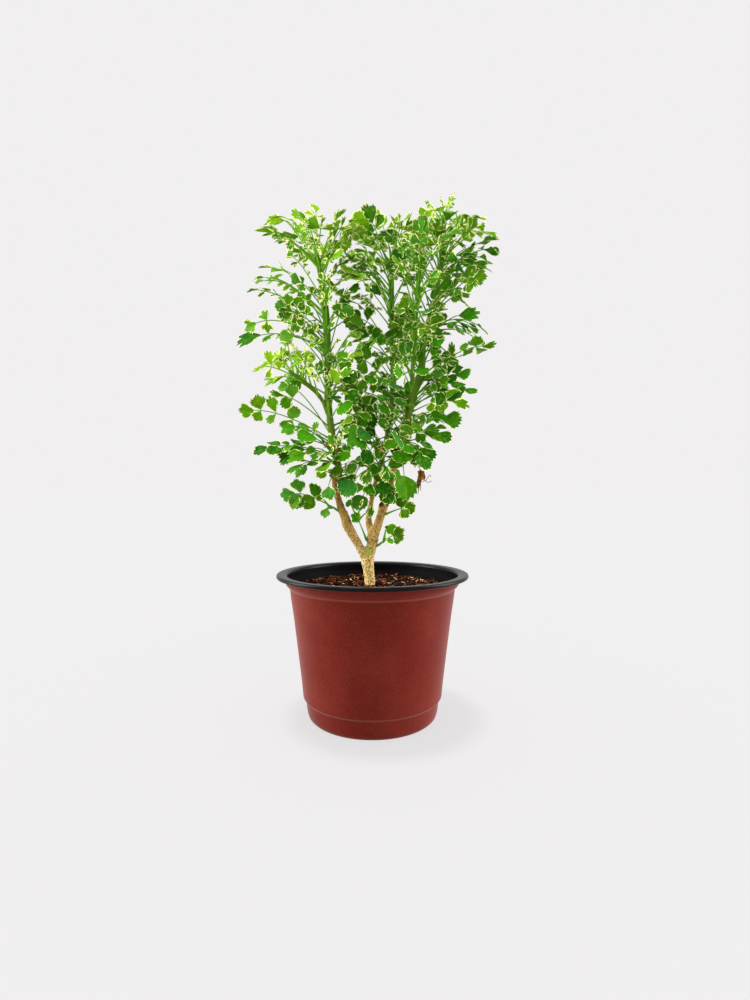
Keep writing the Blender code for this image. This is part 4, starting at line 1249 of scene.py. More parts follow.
# how far fronds lean by height: least, most
leafLeans = [(180, 0.45, 0.9), (240, 0.3, 0.75), (300, 0.05, 0.45), (380, 0.0, 0.3)]
placedFronds = [
    # stem number, height of the root, tip, leaflet length, pairs, cut, cream, lime; some find no room
    (0, 350, (-91, -14, 384), 20, 0, "oak", 0.5, 0.9), (0, 347, (-86, 2, 398), 17, 0, "fan", 0.2, 0.4),
    (0, 352, (-67, 4, 401), 16, 1, "cut", 0.45, 0.9), (0, 345, (-75, -16, 390), 17, 1, "oak", 0.5, 0.95),
    (0, 341, (-72, -26, 368), 16, 0, "oak", 0.55, 0.75), (0, 338, (-64, -12, 374), 14, 0, "fan", 0.2, 0.35),
    (0, 354, (-38, -8, 388), 16, 1, "cut", 0.5, 0.9), (0, 349, (-33, -22, 376), 13, 0, "oak", 0.4, 0.7),
    (0, 355, (-58, 2, 400), 13, 1, "cut", 0.45, 0.9), (0, 351, (-47, -14, 391), 13, 1, "oak", 0.45, 0.9),
    (0, 346, (-60, -20, 384), 16, 1, "feather", 0.5, 0.95), (0, 343, (-82, 12, 395), 15, 1, "oak", 0.5, 0.9),
    (4, 364, (101, -6, 379), 12, 2, "fan", 0.45, 0.4), (4, 360, (96, -20, 372), 12, 2, "oak", 0.45, 0.4),
    (4, 368, (90, 0, 386), 12, 2, "cut", 0.5, 0.45), (4, 370, (80, -16, 381), 12, 2, "fan", 0.5, 0.4),
    (4, 362, (76, -30, 372), 12, 2, "trefoil", 0.4, 0.3), (4, 366, (97, 14, 386), 12, 1, "oak", 0.45, 0.4),
    (4, 372, (72, -22, 387), 12, 1, "oak", 0.5, 0.5), (4, 330, (93, -16, 338), 18, 0, "oak", 0.25, 0.05),
    (4, 366, (85, 8, 391), 12, 2, "oak", 0.5, 0.5), (4, 358, (92, -26, 364), 12, 1, "fan", 0.4, 0.3),
    (4, 361, (103, 6, 384), 11, 1, "cut", 0.5, 0.5), (4, 372, (76, 10, 395), 12, 1, "cut", 0.5, 0.5),
    (4, 334, (93, -14, 347), 16, 0, "cut", 0.2, 0.05), (4, 330, (69, -36, 336), 17, 0, "wedge", 0.3, 0.05),
    (3, 320, (52, -44, 323), 17, 0, "round", 0.2, 0), (3, 316, (31, -46, 328), 17, 0, "fan", 0.3, 0),
    (4, 350, (54, -28, 362), 17, 0, "wedge", 0.15, 0), (3, 336, (21, -30, 361), 15, 0, "wedge", 0.25, 0.05),
    (2, 318, (-1, -4, 327), 17, 0, "oak", 0.3, 0), (3, 290, (38, -54, 299), 14, 0, "round", 0.2, 0),
    (2, 377, (30, 14, 406), 13, 1, "cut", 0.5, 0.5), (4, 394, (38, -8, 396), 12, 1, "oak", 0.5, 0.6),
    (0, 238, (-26, -34, 240), 14, 1, "round", 0.1, 0), (0, 196, (-60, -34, 196), 15, 0, "fan", 0.3, 0.1),
    (0, 200, (-56, -12, 206), 14, 0, "round", 0.2, 0.1), (0, 197, (-72, -26, 195), 13, 0, "fan", 0.25, 0.1),
    (0, 349, (-76, 12, 397), 15, 1, "cut", 0.4, 0.85), (0, 353, (-70, -16, 396), 14, 1, "oak", 0.4, 0.85),
    (0, 351, (-87, -8, 390), 14, 0, "oak", 0.45, 0.85), (2, 372, (32, 10, 397), 13, 1, "cut", 0.4, 0.5),
    (4, 388, (34, -4, 394), 12, 1, "fan", 0.4, 0.45), (4, 376, (96, -12, 384), 13, 1, "cut", 0.4, 0.5),
    (4, 380, (92, 20, 390), 12, 1, "fan", 0.4, 0.5), (4, 386, (82, 8, 396), 12, 1, "oak", 0.4, 0.6),
    (4, 318, (79, -28, 330), 13, 0, "oak", 0.15, 0), (4, 207, (34, -20, 197), 12, 0, "round", 0.15, 0),
    (4, 212, (36, -14, 195), 11, 0, "round", 0.15, 0), (4, 300, (99, -14, 295), 12, 1, "fan", 0.2, 0.1),
    (0, 308, (-92, -4, 341), 10, 2, "trefoil", 0.4, 0.3),
    (0, 306, (-84, -26, 338), 10, 1, "trefoil", 0.4, 0.3),
    (0, 290, (-70, -24, 304), 12, 1, "trefoil", 0.35, 0.2), (0, 284, (-52, -22, 296), 11, 1, "fan", 0.4, 0.3),
    (2, 330, (-20, -6, 360), 13, 1, "oak", 0.4, 0.35), (2, 310, (-18, -14, 338), 13, 1, "fan", 0.35, 0.2),
    (2, 290, (-24, -12, 326), 12, 1, "oak", 0.4, 0.3), (2, 285, (-16, -16, 293), 12, 1, "round", 0.2, 0),
    (0, 300, (-22, -24, 304), 11, 1, "fan", 0.35, 0.2), (4, 396, (46, 2, 406), 12, 0, "cut", 0.4, 0.9),
    (4, 395, (67, 0, 405), 11, 0, "cut", 0.4, 0.9), (4, 362, (26, -10, 373), 13, 0, "wedge", 0.15, 0),
    (3, 336, (44, -42, 346), 13, 0, "round", 0.15, 0), (4, 345, (52, -34, 342), 14, 0, "wedge", 0.15, 0),
    (4, 350, (82, -24, 358), 13, 0, "oak", 0.15, 0), (4, 300, (78, -30, 292), 12, 1, "fan", 0.15, 0.05),
    (4, 305, (88, -24, 290), 12, 0, "round", 0.1, 0), (4, 306, (90, 10, 297), 11, 1, "oak", 0.2, 0.1),
    (4, 304, (74, -2, 300), 11, 1, "fan", 0.2, 0.1), (2, 376, (18, 6, 399), 13, 1, "cut", 0.45, 0.5),
    (2, 377, (26, 0, 399), 13, 1, "oak", 0.5, 0.5), (2, 374, (34, -8, 393), 12, 1, "fan", 0.4, 0.4),
    (4, 336, (92, -8, 344), 15, 1, "fan", 0.2, 0.05), (4, 368, (92, 12, 390), 11, 1, "oak", 0.5, 0.5),
    (4, 362, (98, 2, 379), 11, 1, "cut", 0.45, 0.4), (0, 268, (-66, -16, 297), 11, 1, "trefoil", 0.45, 0.3),
    (0, 272, (-54, -20, 301), 11, 1, "fan", 0.4, 0.2), (0, 264, (-48, -26, 291), 11, 1, "oak", 0.45, 0.5),
    (0, 280, (-72, -4, 307), 10, 2, "trefoil", 0.45, 0.3), (1, 262, (-70, -10, 293), 12, 1, "oak", 0.45, 0.9),
    (1, 258, (-57, -8, 291), 12, 1, "cut", 0.45, 0.9), (1, 261, (-93, -26, 270), 12, 1, "cut", 0.5, 0.7),
    (0, 216, (-70, -24, 262), 11, 1, "fan", 0.3, 0.3), (1, 260, (-62, -20, 287), 13, 1, "oak", 0.45, 0.95),
    (1, 256, (-50, -26, 285), 13, 1, "cut", 0.45, 0.9), (0, 206, (-72, -20, 221), 14, 0, "fan", 0.15, 0.05),
    (2, 203, (-21, -26, 170), 17, 0, "round", 0.08, 0), (2, 196, (-9, -22, 155), 12, 0, "round", 0.1, 0),
    (2, 196, (-18, -30, 161), 12, 0, "round", 0.12, 0), (2, 195, (1, -14, 157), 11, 0, "oak", 0.7, 0.1),
    (2, 198, (-4, -16, 171), 11, 0, "fan", 0.3, 0), (2, 194, (-13, -20, 173), 10, 0, "fan", 0.15, 0),
    (2, 196, (-6, -10, 164), 12, 0, "round", 0.25, 0), (4, 209, (8, -20, 181), 12, 0, "oak", 0.5, 0),
    (0, 192, (-40, -24, 168), 11, 0, "fan", 0.2, 0.1), (0, 199, (-50, -26, 199), 15, 0, "fan", 0.2, 0.05),
    (0, 203, (-52, -20, 212), 13, 0, "oak", 0.25, 0.1), (0, 196, (-73, -18, 199), 15, 0, "fan", 0.2, 0.05),
    (2, 208, (-6, -26, 212), 14, 0, "round", 0.2, 0), (4, 206, (25, -22, 203), 13, 0, "round", 0.15, 0),
    (4, 210, (20, -30, 190), 12, 0, "fan", 0.2, 0), (4, 308, (100, -8, 288), 10, 2, "oak", 0.3, 0.15),
    (4, 306, (82, -16, 296), 10, 1, "fan", 0.2, 0.05), (4, 304, (68, -24, 290), 12, 0, "round", 0.1, 0),
    (4, 302, (95, 2, 288), 11, 1, "fan", 0.15, 0.05), (0, 312, (-97, -12, 330), 9, 1, "trefoil", 0.5, 0.25),
    (0, 314, (-88, -18, 336), 9, 2, "trefoil", 0.55, 0.3), (0, 316, (-81, -10, 341), 9, 2, "cut", 0.5, 0.35),
    (0, 318, (-73, -2, 343), 9, 1, "trefoil", 0.5, 0.3), (0, 262, (-13, -34, 255), 11, 0, "round", 0.1, 0),
    (0, 258, (-12, -26, 248), 12, 0, "round", 0.05, 0.05), (0, 250, (-13, -32, 239), 13, 0, "fan", 0.1, 0),
    (0, 246, (-18, -24, 233), 11, 0, "round", 0.3, 0.1), (0, 212, (-24, -32, 207), 11, 0, "cut", 0.6, 0.2),
    (0, 208, (-15, -28, 204), 12, 0, "trefoil", 0.45, 0.1),
    (0, 204, (-19, -34, 196), 12, 0, "round", 0.2, 0.05), (0, 200, (-30, -38, 198), 10, 0, "fan", 0.45, 0.1),
    (2, 200, (-11, -26, 192), 14, 0, "round", 0.08, 0), (2, 202, (-5, -20, 181), 14, 0, "oak", 0.8, 0.1),
    (2, 197, (12, -14, 166), 13, 0, "round", 0.05, 0), (2, 206, (-15, -26, 218), 20, 0, "fan", 0.06, 0),
    (0, 200, (-74, -30, 191), 15, 0, "fan", 0.2, 0.1), (0, 203, (-58, -34, 220), 16, 0, "oak", 0.2, 0.15),
    (0, 197, (-64, -22, 187), 16, 0, "fan", 0.3, 0.05),
    (0, 201, (-57, -14, 215), 15, 0, "trefoil", 0.45, 0.3),
    (0, 206, (-64, -40, 205), 9, 0, "round", 0.2, 0.1), (0, 195, (-49, -36, 187), 13, 0, "trefoil", 0.6, 0.3),
    (0, 197, (-40, -30, 194), 14, 0, "cut", 0.9, 0.3), (4, 214, (47, -12, 206), 16, 0, "round", 0.06, 0),
    (4, 209, (30, -24, 196), 13, 0, "round", 0.05, 0), (4, 225, (67, -12, 227), 16, 0, "fan", 0.12, 0),
    (4, 228, (60, -22, 214), 14, 0, "fan", 0.12, 0), (4, 240, (68, -16, 242), 12, 0, "round", 0.15, 0),
    (4, 246, (53, -26, 243), 12, 0, "wedge", 0.1, 0), (4, 285, (59, -18, 279), 14, 0, "round", 0.08, 0),
    (2, 240, (9, -24, 233), 15, 0, "wedge", 0.05, 0), (2, 244, (16, -28, 247), 15, 0, "wedge", 0.08, 0),
    (2, 262, (-4, -30, 255), 13, 0, "round", 0.35, 0), (4, 268, (28, -34, 267), 11, 0, "round", 0.08, 0),
    (4, 276, (20, -30, 277), 10, 0, "round", 0.05, 0), (0, 209, (-22, -30, 203), 7, 0, "shrivelled", 0, 2),
    (0, 246, (-20, -28, 241), 6, 0, "shrivelled", 0, 2), (2, 210, (6, -22, 206), 6, 0, "shrivelled", 0, 2),
    (0, 206, (-27, -34, 200), 6, 0, "shrivelled", 0, 2), (4, 212, (35, -30, 186), 14, 0, "round", 0.2, 0),
    (0, 230, (-17, -38, 234), 17, 0, "round", 0.1, 0), (4, 310, (78, -24, 325), 11, 0, "oak", 0.15, 0.05),
    (2, 209, (-12, -38, 200), 13, 0, "fan", 0.1, 0), (4, 304, (97, -22, 287), 14, 0, "oak", 0.15, 0.05),
    (0, 344, (-78, -24, 386), 15, 0, "oak", 0.3, 0.6), (0, 352, (-72, 12, 397), 14, 0, "oak", 0.35, 0.7),
    (0, 288, (-100, -14, 300), 11, 1, "trefoil", 0.5, 0.35),
    (0, 292, (-88, -22, 305), 10, 1, "trefoil", 0.45, 0.3),
    (0, 276, (-64, -34, 290), 12, 0, "fan", 0.35, 0.3), (0, 294, (-24, -34, 300), 12, 1, "fan", 0.35, 0.2),
    (2, 326, (-22, -30, 332), 13, 1, "fan", 0.35, 0.3), (4, 398, (54, -8, 402), 12, 0, "cut", 0.45, 0.6),
    (4, 338, (93, -28, 344), 14, 0, "oak", 0.2, 0.05), (0, 312, (-90, -26, 334), 11, 1, "trefoil", 0.5, 0.35),
    (1, 261, (-93, -14, 266), 11, 1, "oak", 0.45, 0.7),
]
sprigLeaves = [  # more leaves on the small shoots: where they leave the stalk, tip, length
    ("inner_twig", (-12.2, -7.8, 154.8), (-21, -18, 167), 12),
    ("inner_twig", (-11.6, -7.2, 153.8), (-5, -16, 165), 12),
    ("inner_twig", (-11.0, -6.8, 152.6), (2, -10, 160), 10),
    ("low_left_sprig", (-49.5, -13.2, 170.8), (-62, -20, 160), 10),
    ("low_left_sprig", (-33.5, -9.9, 163.6), (-43, -16, 170), 10),
    ("low_left_sprig", (-31.5, -9.5, 162.8), (-38, -17, 155), 10),
    ("base_sprig", (9.6, -1.8, 137.4), (16, -9, 134), 10),
    ("base_sprig", (9.0, -1.6, 136.9), (12, -7, 149), 9),
]
extraGrowth = [
    # stem number, fronds, lowest root, highest root, leaflet length, pairs, reach, rise, first turn, arc
    (0, 8, 347, 358, 12.0, 2, (10, 44), (26, 42), 0, 360),
    (2, 16, 354, 376, 12.0, 2, (10, 48), (22, 40), 40, 360),
    (4, 16, 345, 384, 11.5, 2, (12, 48), (20, 38), 80, 360),
    (0, 20, 268, 350, 10.5, 2, (24, 52), (18, 42), 20, 360),
    (2, 36, 262, 370, 10.5, 2, (18, 48), (22, 46), 70, 360),
    (4, 32, 262, 385, 10.5, 2, (20, 50), (18, 42), 110, 360),
    (3, 18, 245, 340, 10.0, 1, (16, 34), (16, 34), 150, 360),
    (0, 14, 236, 345, 10.0, 1, (14, 30), (12, 30), 200, 140),
    (2, 24, 220, 366, 10.0, 1, (14, 32), (12, 30), 200, 140),
    (4, 22, 225, 380, 10.0, 1, (14, 32), (12, 30), 200, 140),
    (1, 8, 236, 262, 10.5, 1, (14, 30), (8, 24), 200, 360),
    (0, 8, 205, 262, 12.0, 1, (24, 44), (12, 30), 60, 360),
    (2, 20, 196, 262, 12.5, 1, (20, 42), (8, 30), 200, 360),
    (4, 20, 206, 262, 12.5, 1, (20, 42), (8, 26), 300, 360),
    (2, 18, 196, 222, 13.5, 1, (12, 34), (-34, 6), 195, 150),
    (4, 14, 207, 235, 13.5, 1, (10, 32), (-34, 4), 195, 160),
    (0, 12, 184, 214, 13.0, 0, (10, 28), (-12, 14), 195, 160),
    (2, 16, 232, 300, 13.0, 1, (14, 30), (6, 26), 195, 150),
    (4, 16, 236, 330, 13.0, 1, (12, 30), (6, 26), 195, 150),
]
extraRule = {
    "arch": 0.28, "tries": 12, "clearance": 0.12, "turn": 137.5, "depth": 0.85, "proposals": 6,
    "placedTries": 26, "placedLean": (0.35, 0.8), "crownLean": 0.5, "sprigLean": 0.7, "seenReach": 1.1,
    "stalkSeen": (0.35, 0.55, 0.75), "seenAt": 0.75, "hang": 0.2, "proposalTurn": 53, "edge": 6,
    "leafVary": (0.8, 1.2),
}


def inside(value, band):
    return band[0] < value < band[1]


def styleAt(frond, size, draw):
    if "style" in frond:
        return frond["style"]
    shape, number = foliageShape, frond["stem"]
    place, seed = frond["form"][1], frond["form"][5]
    if number is None:
        kind = "sprig"
    elif number == 1 or (number == 0 and place.z > shape["youngFrom"]):
        kind = "lime"
    elif number == 0 and place.z > shape["limeFrom"]:
        kind = "fine"
    elif number == 4 and place.z > shape["rightYoungFrom"]:
        kind = "lime"
    elif size > shape["bigFrom"]:
        kind = "big"
    elif place.x > shape["darkSide"] and inside(place.z, shape["darkBand"]):
        kind = "dark"
    elif number == 0 and place.z < shape["paleTo"]:
        kind = "pale"
    elif place.z < shape["lowTo"]:
        kind = "low"
    elif abs(place.x - shape["middle"]) < shape["fineReach"] and draw.random() < shape["fineShare"]:
        upper = "crown" if place.z > shape["crownFrom"][0] else "fine"
        kind = upper if place.z > shape["fineFrom"] else "middle"
    else:
        kind = "crown" if place.z > shape["crownFrom"][1] else "side"
    style = dict(leafStyles[kind])
    for tone, vary in shape["toneVary"].items():
        style[tone] = max(0.0, min(1.0, style[tone] + draw.gauss(0, vary)))
    style["split"] = draw.choice(style["splits"])
    if seed in ownCuts:
        style["cuts"] = (ownCuts[seed],)
    return style


def addFrond(growth, frond):
    shape = foliageShape
    root, *_, seed, _ = frond["form"]
    draw = random.Random(seed + " fine")
    along, axes, leaf, length = curveOf(frond["form"])
    style = styleAt(frond, leaf, draw)
    look = (style["cream"], style["lime"])
    stalk = []
    if frond["stem"] is None:  # it starts inside the wood
        stalk.append((*(root - axes(0)[0] * shape["rootDepth"]), shape["stalkRadius"]))
    for step in range(11):
        t = step / 10
        radius = shape["stalkRadius"] - shape["stalkTaper"] * t
        radius += shape["rootRadius"][frond["extra"]] * math.exp(-t * length / shape["rootFade"])
        stalk.append((*along(t), radius))
    addStalk(growth, stalk, shape["stalkSides"], look)
    for t, out, up, size in frond["leaflets"]:
        split = 5 if style["split"] == 3 and size > shape["fiveFrom"] else style["split"]
        grown = size * (style["grow"] if openTo(along(t) + out * size) else 1.0)
        base = along(t) - out * (grown - size) * (t == 1)
        addPinna(growth, base, out, up, grown, {**style, "split": split}, draw)
    if frond["stem"] is None or "style" in frond:
        return
    taken = [t for t, *_ in frond["leaflets"]]
    t = shape["extraFrom"]
    while t < 1 - shape["extraEnd"] * leaf / length:
        if all(abs(t - other) * length > shape["extraApart"] * leaf for other in taken):
            addExtraPair(growth, along(t), axes(t), leaf, style, draw)
        t += shape["extraStep"] * leaf / length


def addExtraPair(growth, base, axes, leaf, style, draw):
    # smaller leaflets between those of the solids, where they find room
    ahead, side, up = axes
    for way in (1, -1):
        angle = math.radians(draw.uniform(*foliageShape["extraAngle"]))
        out = (ahead * math.cos(angle) + side * way * math.sin(angle)).normalized()
        size = leaf * draw.uniform(*foliageShape["extraSize"])
        lifted = Quaternion(out, math.radians(draw.uniform(*foliageShape["extraTwist"]))) @ up
        across = out.cross(lifted)
        start = base + out * foliageShape["extraClear"]
        if not openTo(start + out * size):
            continue
        kite = [start, start + (out * 0.55 + across * 0.45) * size, start + out * size]
        kite.append(start + (out * 0.55 - across * 0.45) * size)
        tree = BVHTree.FromPolygons(kite, [(0, 1, 2, 3)])
        if any(tree.overlap(other) for other in thicket):
            continue
        thicket.append(tree)
        addPinna(growth, base, out, lifted, size, style, draw)


def readRows(rows, value):
    # the other columns of rows at a value of the first
    value = max(rows[0][0], min(rows[-1][0], value))
    for low, high in zip(rows, rows[1:]):
        if value <= high[0]:
            share = (value - low[0]) / (high[0] - low[0])
            return [a * (1 - share) + b * share for a, b in zip(low[1:], high[1:])]


def openTo(point):
    # whether the photograph shows leaves where the camera sees this point
    x0, y0, z0 = stageLook["cameraPlace"]
    share = y0 / (y0 - point.y)
    x, z = x0 + (point.x - x0) * share, z0 + (point.z - z0) * share
    left, right = readRows(leafSpread, z)
    if x < left or x > right or z > readRows(crownTop, x)[0]:
        return False
    return all(((x - a) / wide) ** 2 + ((z - b) / high) ** 2 > 1 for a, b, wide, high in leafGaps)


def inTheOpen(form):
    # whether the photograph shows leaves wherever this frond would have one
    along = curveOf(form)[0]
    for t, out, up, size in roughFrond(*form)[3]:
        reach = size * extraRule["seenReach"]
        hanging = out - up * extraRule["hang"]
        if not openTo(along(t) + hanging * reach) or not openTo(along(t) + out * reach * 0.5):
            return False
    return True


def standsClear(form):
    # the same, and along its stalk as well
    along = curveOf(form)[0]
    return all(openTo(along(t)) for t in extraRule["stalkSeen"]) and inTheOpen(form)


def growPlaced(grown):
    # the leaves that stand out in the photograph, each near its own place
    rule = {"arch": extraRule["arch"], "tries": extraRule["placedTries"], "gap": extraRule["clearance"]}
    rule["shows"] = inTheOpen
    missing = []
    for index, (number, height, tip, leaf, pairs, cut, cream, lime) in enumerate(placedFronds):
        stem, draw = greenStems[number], random.Random(f"placed {index}")
        root, lean = atHeight(stem["path"], height), draw.uniform(*extraRule["placedLean"])
        if not number and tip[2] > foliageShape["limeFrom"]:
            lean *= extraRule["crownLean"]
        frond = growFrond(root, Vector(tip), leaf, pairs, f"placed {index}", lean=lean, **rule)
        if frond:
            style = {"cuts": (cut,), "cream": cream, "lime": lime, "split": 1, "grow": 1.0, "deep": 1.0}
            grown.append({"node": stem["node"], "stem": number, **frond, "extra": True, "style": style})
        else:
            missing.append(tip)
    rule.update(shows=None, lean=extraRule["sprigLean"])
    for node, start, tip, leaf in sprigLeaves:
        frond = growFrond(Vector(start), Vector(tip), leaf, 0, f"{node} {tip}", **rule)
        if frond:
            grown.append({"node": node, "stem": None, **frond})
        else:
            missing.append(tip)
    print("placed fronds:", len(placedFronds) + len(sprigLeaves), "without room:", missing)


def growExtras(grown):
    # fronds that rise steeply and arch over, between the others, each in a place of its own
    low, high = (Vector(corner) / mm for corner in cadBox)
    for row, values in enumerate(extraGrowth):
        number, count, lowest, highest, leaf, pairs, reaches, rises, turn, arc = values
        stem, draw = greenStems[number], random.Random(f"extra {row}")
        found = 0
        for index in range(count):
            for proposal in range(extraRule["proposals"]):
                height = lowest + (highest - lowest) * (index + draw.random()) / count
                azimuth = math.radians(
                    turn + (index * extraRule["turn"] + proposal * extraRule["proposalTurn"]) % arc
                )
                root = atHeight(stem["path"], height)
                way = Vector((math.cos(azimuth), math.sin(azimuth) * extraRule["depth"], 0))
                tip = root + way * draw.uniform(*reaches) + upward * draw.uniform(*rises)
                tip.y = max(low.y + extraRule["edge"], min(high.y - extraRule["edge"], tip.y))
                if openTo(tip) and (not pairs or openTo(root.lerp(tip, extraRule["seenAt"]))):
                    break
            else:
                continue
            frond = growFrond(
                root, tip, leaf * draw.uniform(*extraRule["leafVary"]), pairs, f"extra {row} {index}",
                arch=extraRule["arch"], lean=draw.uniform(*readRows(leafLeans, tip.z)),
                tries=extraRule["tries"], gap=extraRule["clearance"], shows=standsClear,
            )
            if frond:
                found += 1
                grown.append({"node": stem["node"], "stem": number, **frond, "extra": True})
        print("extra fronds on stem", number, "found room:", found, "of", count)


def bladeFinish():
    finish, tree, shader = newFinish("leafBlade", 0.55, 0.035)
    across, inwards, which = parts(tree, cornerValue(tree, "bladePlace", "Vector"))
    cream, lime, under = parts(tree, cornerValue(tree, "bladeLook", "Vector"))
    own = calc(tree, "MULTIPLY", which, 40.0)
    inputs = {0: calc(tree, "MULTIPLY", across, 3.2), 1: calc(tree, "MULTIPLY", inwards, 0.16), 2: own}
    streaks = noiseOf(tree, addNode(tree, "ShaderNodeCombineXYZ", inputs).outputs[0], 1.7, 4.0, 0.6)
    clouds = noiseOf(tree, objectPlace(tree), 330.0, 3.0)
    # greens, from leaf to leaf and over each leaf
    colour = mixColours(tree, softStep(tree, which, 0.2, 0.7), leafTones["darkGreen"], leafTones["green"])
    colour = mixColours(tree, softStep(tree, which, 0.72, 0.8), colour, leafTones["blueGreen"], 0.8)
    colour = mixColours(tree, softStep(tree, clouds, 0.45, 0.7), colour, leafTones["paleGreen"], 0.35)
    young = calc(tree, "MULTIPLY", lime, calc(tree, "ADD", clouds, 0.45), True)
    colour = mixColours(tree, young, colour, leafTones["lime"])
    # veins that fan out from the stalk
    wide = calc(tree, "ABSOLUTE", calc(tree, "SINE", calc(tree, "MULTIPLY", across, 9.42)))
    veins = calc(tree, "SUBTRACT", 1.0, softStep(tree, wide, 0.0, 0.22))
    midrib = calc(tree, "SUBTRACT", 1.0, softStep(tree, calc(tree, "ABSOLUTE", across), 0.0, 0.07))
    veins = calc(tree, "MAXIMUM", calc(tree, "MULTIPLY", veins, 0.55), midrib)
    veins = calc(tree, "MULTIPLY", veins, softStep(tree, inwards, 0.2, 1.6))
    colour = mixColours(tree, veins, colour, leafTones["vein"], 0.35)
    # a cream line along the rim, and streaks of it that run in between the veins
    deep = calc(tree, "MULTIPLY", calc(tree, "SUBTRACT", streaks, 0.45), calc(tree, "MULTIPLY", cream, 19.0))
    thin = calc(tree, "SUBTRACT", calc(tree, "MULTIPLY", clouds, 1.6), 0.46)
    width = calc(tree, "ADD", calc(tree, "MAXIMUM", deep, 0.0), calc(tree, "MAXIMUM", thin, 0.0))
    gone = calc(tree, "SUBTRACT", width, inwards)
    colour = mixColours(tree, softStep(tree, gone, -0.9, 0.1), colour, leafTones["paleGreen"], 0.4)
    margin = softStep(tree, gone, -0.16, 0.10)
    colour = mixColours(tree, margin, colour, leafTones["cream"])
    below = mixColours(tree, margin, leafTones["underside"], leafTones["cream"])
    below = mixColours(tree, 0.65, below, colour)
    colour = mixColours(tree, softStep(tree, under, 0.55, 0.9), colour, below)
    colour = mixColours(tree, softStep(tree, lime, 1.4, 1.6), colour, leafTones["dry"])
    tree.links.new(colour, shader.inputs["Base Color"])
    bumpInto(tree, shader, weighted(tree, veins, clouds, 0.5, 0.8), 0.35, 0.0004)
    return finish


def stemFinish():
    finish, tree, shader = newFinish("greenStem", 0.55, 0.06)
    _, lime, aged = parts(tree, cornerValue(tree, "bladeLook", "Vector"))
    where = objectPlace(tree)
    streaks = noiseOf(tree, stretched(tree, where, 700, 700, 60), 1.0, 3.0)
    colour = mixColours(tree, lime, leafTones["stem"], leafTones["stemYoung"], 0.9)
    colour = mixColours(tree, aged, colour, leafTones["stemDark"], 0.80)
    old = softStep(tree, weighted(tree, parts(tree, where)["Z"], streaks, 0.05), 0.33, 0.22)
    old = calc(tree, "MULTIPLY", old, aged)
    colour = mixColours(tree, old, colour, leafTones["stemOld"], 0.65)
    colour = mixColours(tree, softStep(tree, streaks, 0.55, 0.8), colour, leafTones["stemYoung"])
    scars = softStep(tree, noiseOf(tree, stretched(tree, where, 130, 130, 420), 1.0, 3.0), 0.60, 0.68)
    scars = calc(tree, "MULTIPLY", scars, calc(tree, "MULTIPLY", old, 0.7))
    colour = mixColours(tree, scars, colour, leafTones["scar"])
    tree.links.new(colour, shader.inputs["Base Color"])
    bumpInto(tree, shader, streaks, 0.4, 0.0004)
    return finish


def deadFinish():
    finish, tree, shader = newFinish("deadLeaf", 0.8, 0.04)
    where = objectPlace(tree)
    folds = noiseOf(tree, where, 400.0, 4.0)
    colour = mixColours(tree, softStep(tree, folds, 0.4, 0.65), leafTones["dead"], leafTones["deadPale"])
    tree.links.new(colour, shader.inputs["Base Color"])
    bumpInto(tree, shader, folds, 0.6, 0.0005)
    return finish


def addGreenStem(growth, stem, fronds):
    # a smooth stem that swells a little where each frond leaves it
    path = smoothCurve(stem["path"], foliageShape["stemSteps"])
    heights = [frond["form"][0].z for frond in fronds]
    spread, most, thick = foliageShape["swell"]
    stemPath = []
    for x, y, z, radius in path:
        swell = sum(math.exp(-((z - height) ** 2) / spread) for height in heights)
        stemPath.append((x, y, z, radius + min(swell, most) * thick))
    x, y, z, radius = stemPath[-1]
    ahead = (Vector(stemPath[-1][:3]) - Vector(stemPath[-4][:3])).normalized()
    for reach, share in foliageShape["stemTip"]:
        stemPath.append((*(Vector((x, y, z)) + ahead * reach), radius * share))
    addStalk(growth, stemPath, foliageShape["stemSides"], foliageShape["stemTone"], old=1.0)


def finishPiece(name, growth, finishes, node):
    points, faces, skins = growth["points"], growth["faces"], growth["finish"]
    piece = addPiece(name, points, faces, finishes, [node], skins, sharp=60)
    for kept, values in (("bladePlace", growth["place"]), ("bladeLook", growth["look"])):
        keepOnCorners(piece, kept, "FLOAT_VECTOR", [number for value in values for number in value])
    print(name, "triangles:", sum(len(polygon.vertices) - 2 for polygon in piece.data.polygons))


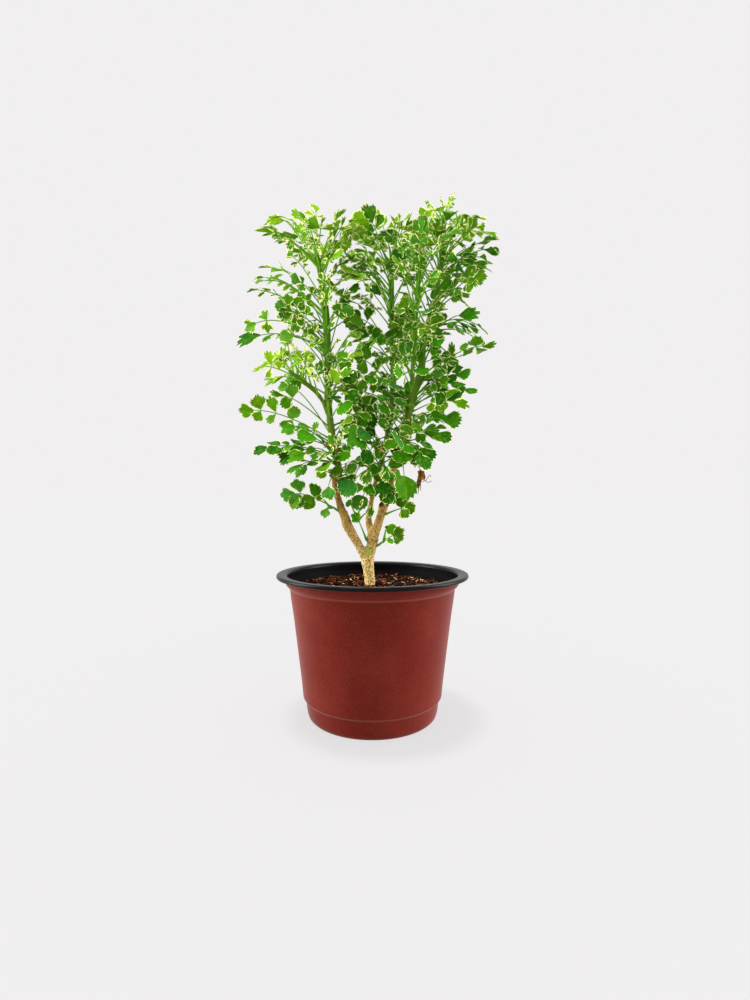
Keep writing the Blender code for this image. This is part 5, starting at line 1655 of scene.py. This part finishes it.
deadLeaf = {
    "frond": ((26.0, 8.0, 207.0), (44, -3, 180), 14, 1),
    "stalk": 0.55,
    "taper": 0.4,
    "end": ((-35, 50), 1.0, (1.1, 1.4)),  # twists of its blades, how far they droop, their lengths
    "sides": ((20,), 0.2, (0.5, 0.7)),
    "sway": (-0.2, 0.2),
    "threadRadius": 0.24,
    "threads": [
        [(39.0, -3, 183), (42.5, -4, 184.5), (44.5, -4, 188), (46, -4, 187)],
        [(39.5, -3, 186), (43, -4, 182.5), (46.5, -5, 183.5)],
        [(38, -3, 181), (35.5, -4, 178.5), (34.5, -4, 180)],
    ],
}


def addDeadLeaf(growth, frond):
    draw = random.Random("shrivelled")
    along = curveOf(frond["form"])[0]
    stalk = [(*along(step / 8), deadLeaf["stalk"] * (1 - deadLeaf["taper"] * step / 8)) for step in range(9)]
    addStalk(growth, stalk, 6, (0.0, 0.0))
    for t, out, up, size in frond["leaflets"]:
        twists, drop, lengths = deadLeaf["end" if t == 1 else "sides"]
        for twist in twists:
            sway = Vector([draw.uniform(*deadLeaf["sway"]) for _ in range(3)])
            hang = (out * (1.2 - drop) - upward * drop + sway).normalized()
            turned = Quaternion(hang, math.radians(twist)) @ up
            reach = size * draw.uniform(*lengths)
            addBlade(growth, along(t), hang, turned, reach, "withered", (0, 0, 1), draw)
    for thread in deadLeaf["threads"]:
        path = [(*spot, deadLeaf["threadRadius"]) for spot in smoothCurve(thread, 5)]
        addStalk(growth, path, 5, (0.0, 0.0))


def makePlant():
    grown = growPlant()
    print("fronds of the solids grown:", len(grown))
    growPlaced(grown)
    growExtras(grown)
    skins, dead = [bladeFinish(), stemFinish()], deadFinish()
    names = {
        "left_stem": "left", "centre_stem": "centre", "mid_stem": "middle", "right_stem": "right",
        "low_left_sprig": "lowLeft", "low_right_sprig": "lowRight",
        "base_sprig": "base", "inner_twig": "inner",
    }
    for node, name in names.items():
        growth, extras = newGrowth(), newGrowth()
        for number, stem in enumerate(greenStems):
            if stem["node"] == node:
                addGreenStem(growth, stem, [frond for frond in grown if frond["stem"] == number])
        for frond in grown:
            if frond["node"] == node:
                addFrond(extras if frond["extra"] else growth, frond)
        kind = "Foliage" if extras["faces"] else "Sprig"
        finishPiece(name + kind, growth, skins, node)
        if extras["faces"]:
            finishPiece(name + "FineFoliage", extras, skins, node)
    growth = newGrowth()
    frond = next(frond for frond in grown if frond["node"] == "dead_leaf")
    addDeadLeaf(growth, frond)
    finishPiece("deadLeaf", growth, [dead, dead], "dead_leaf")


makePlant()
print("foliage made")
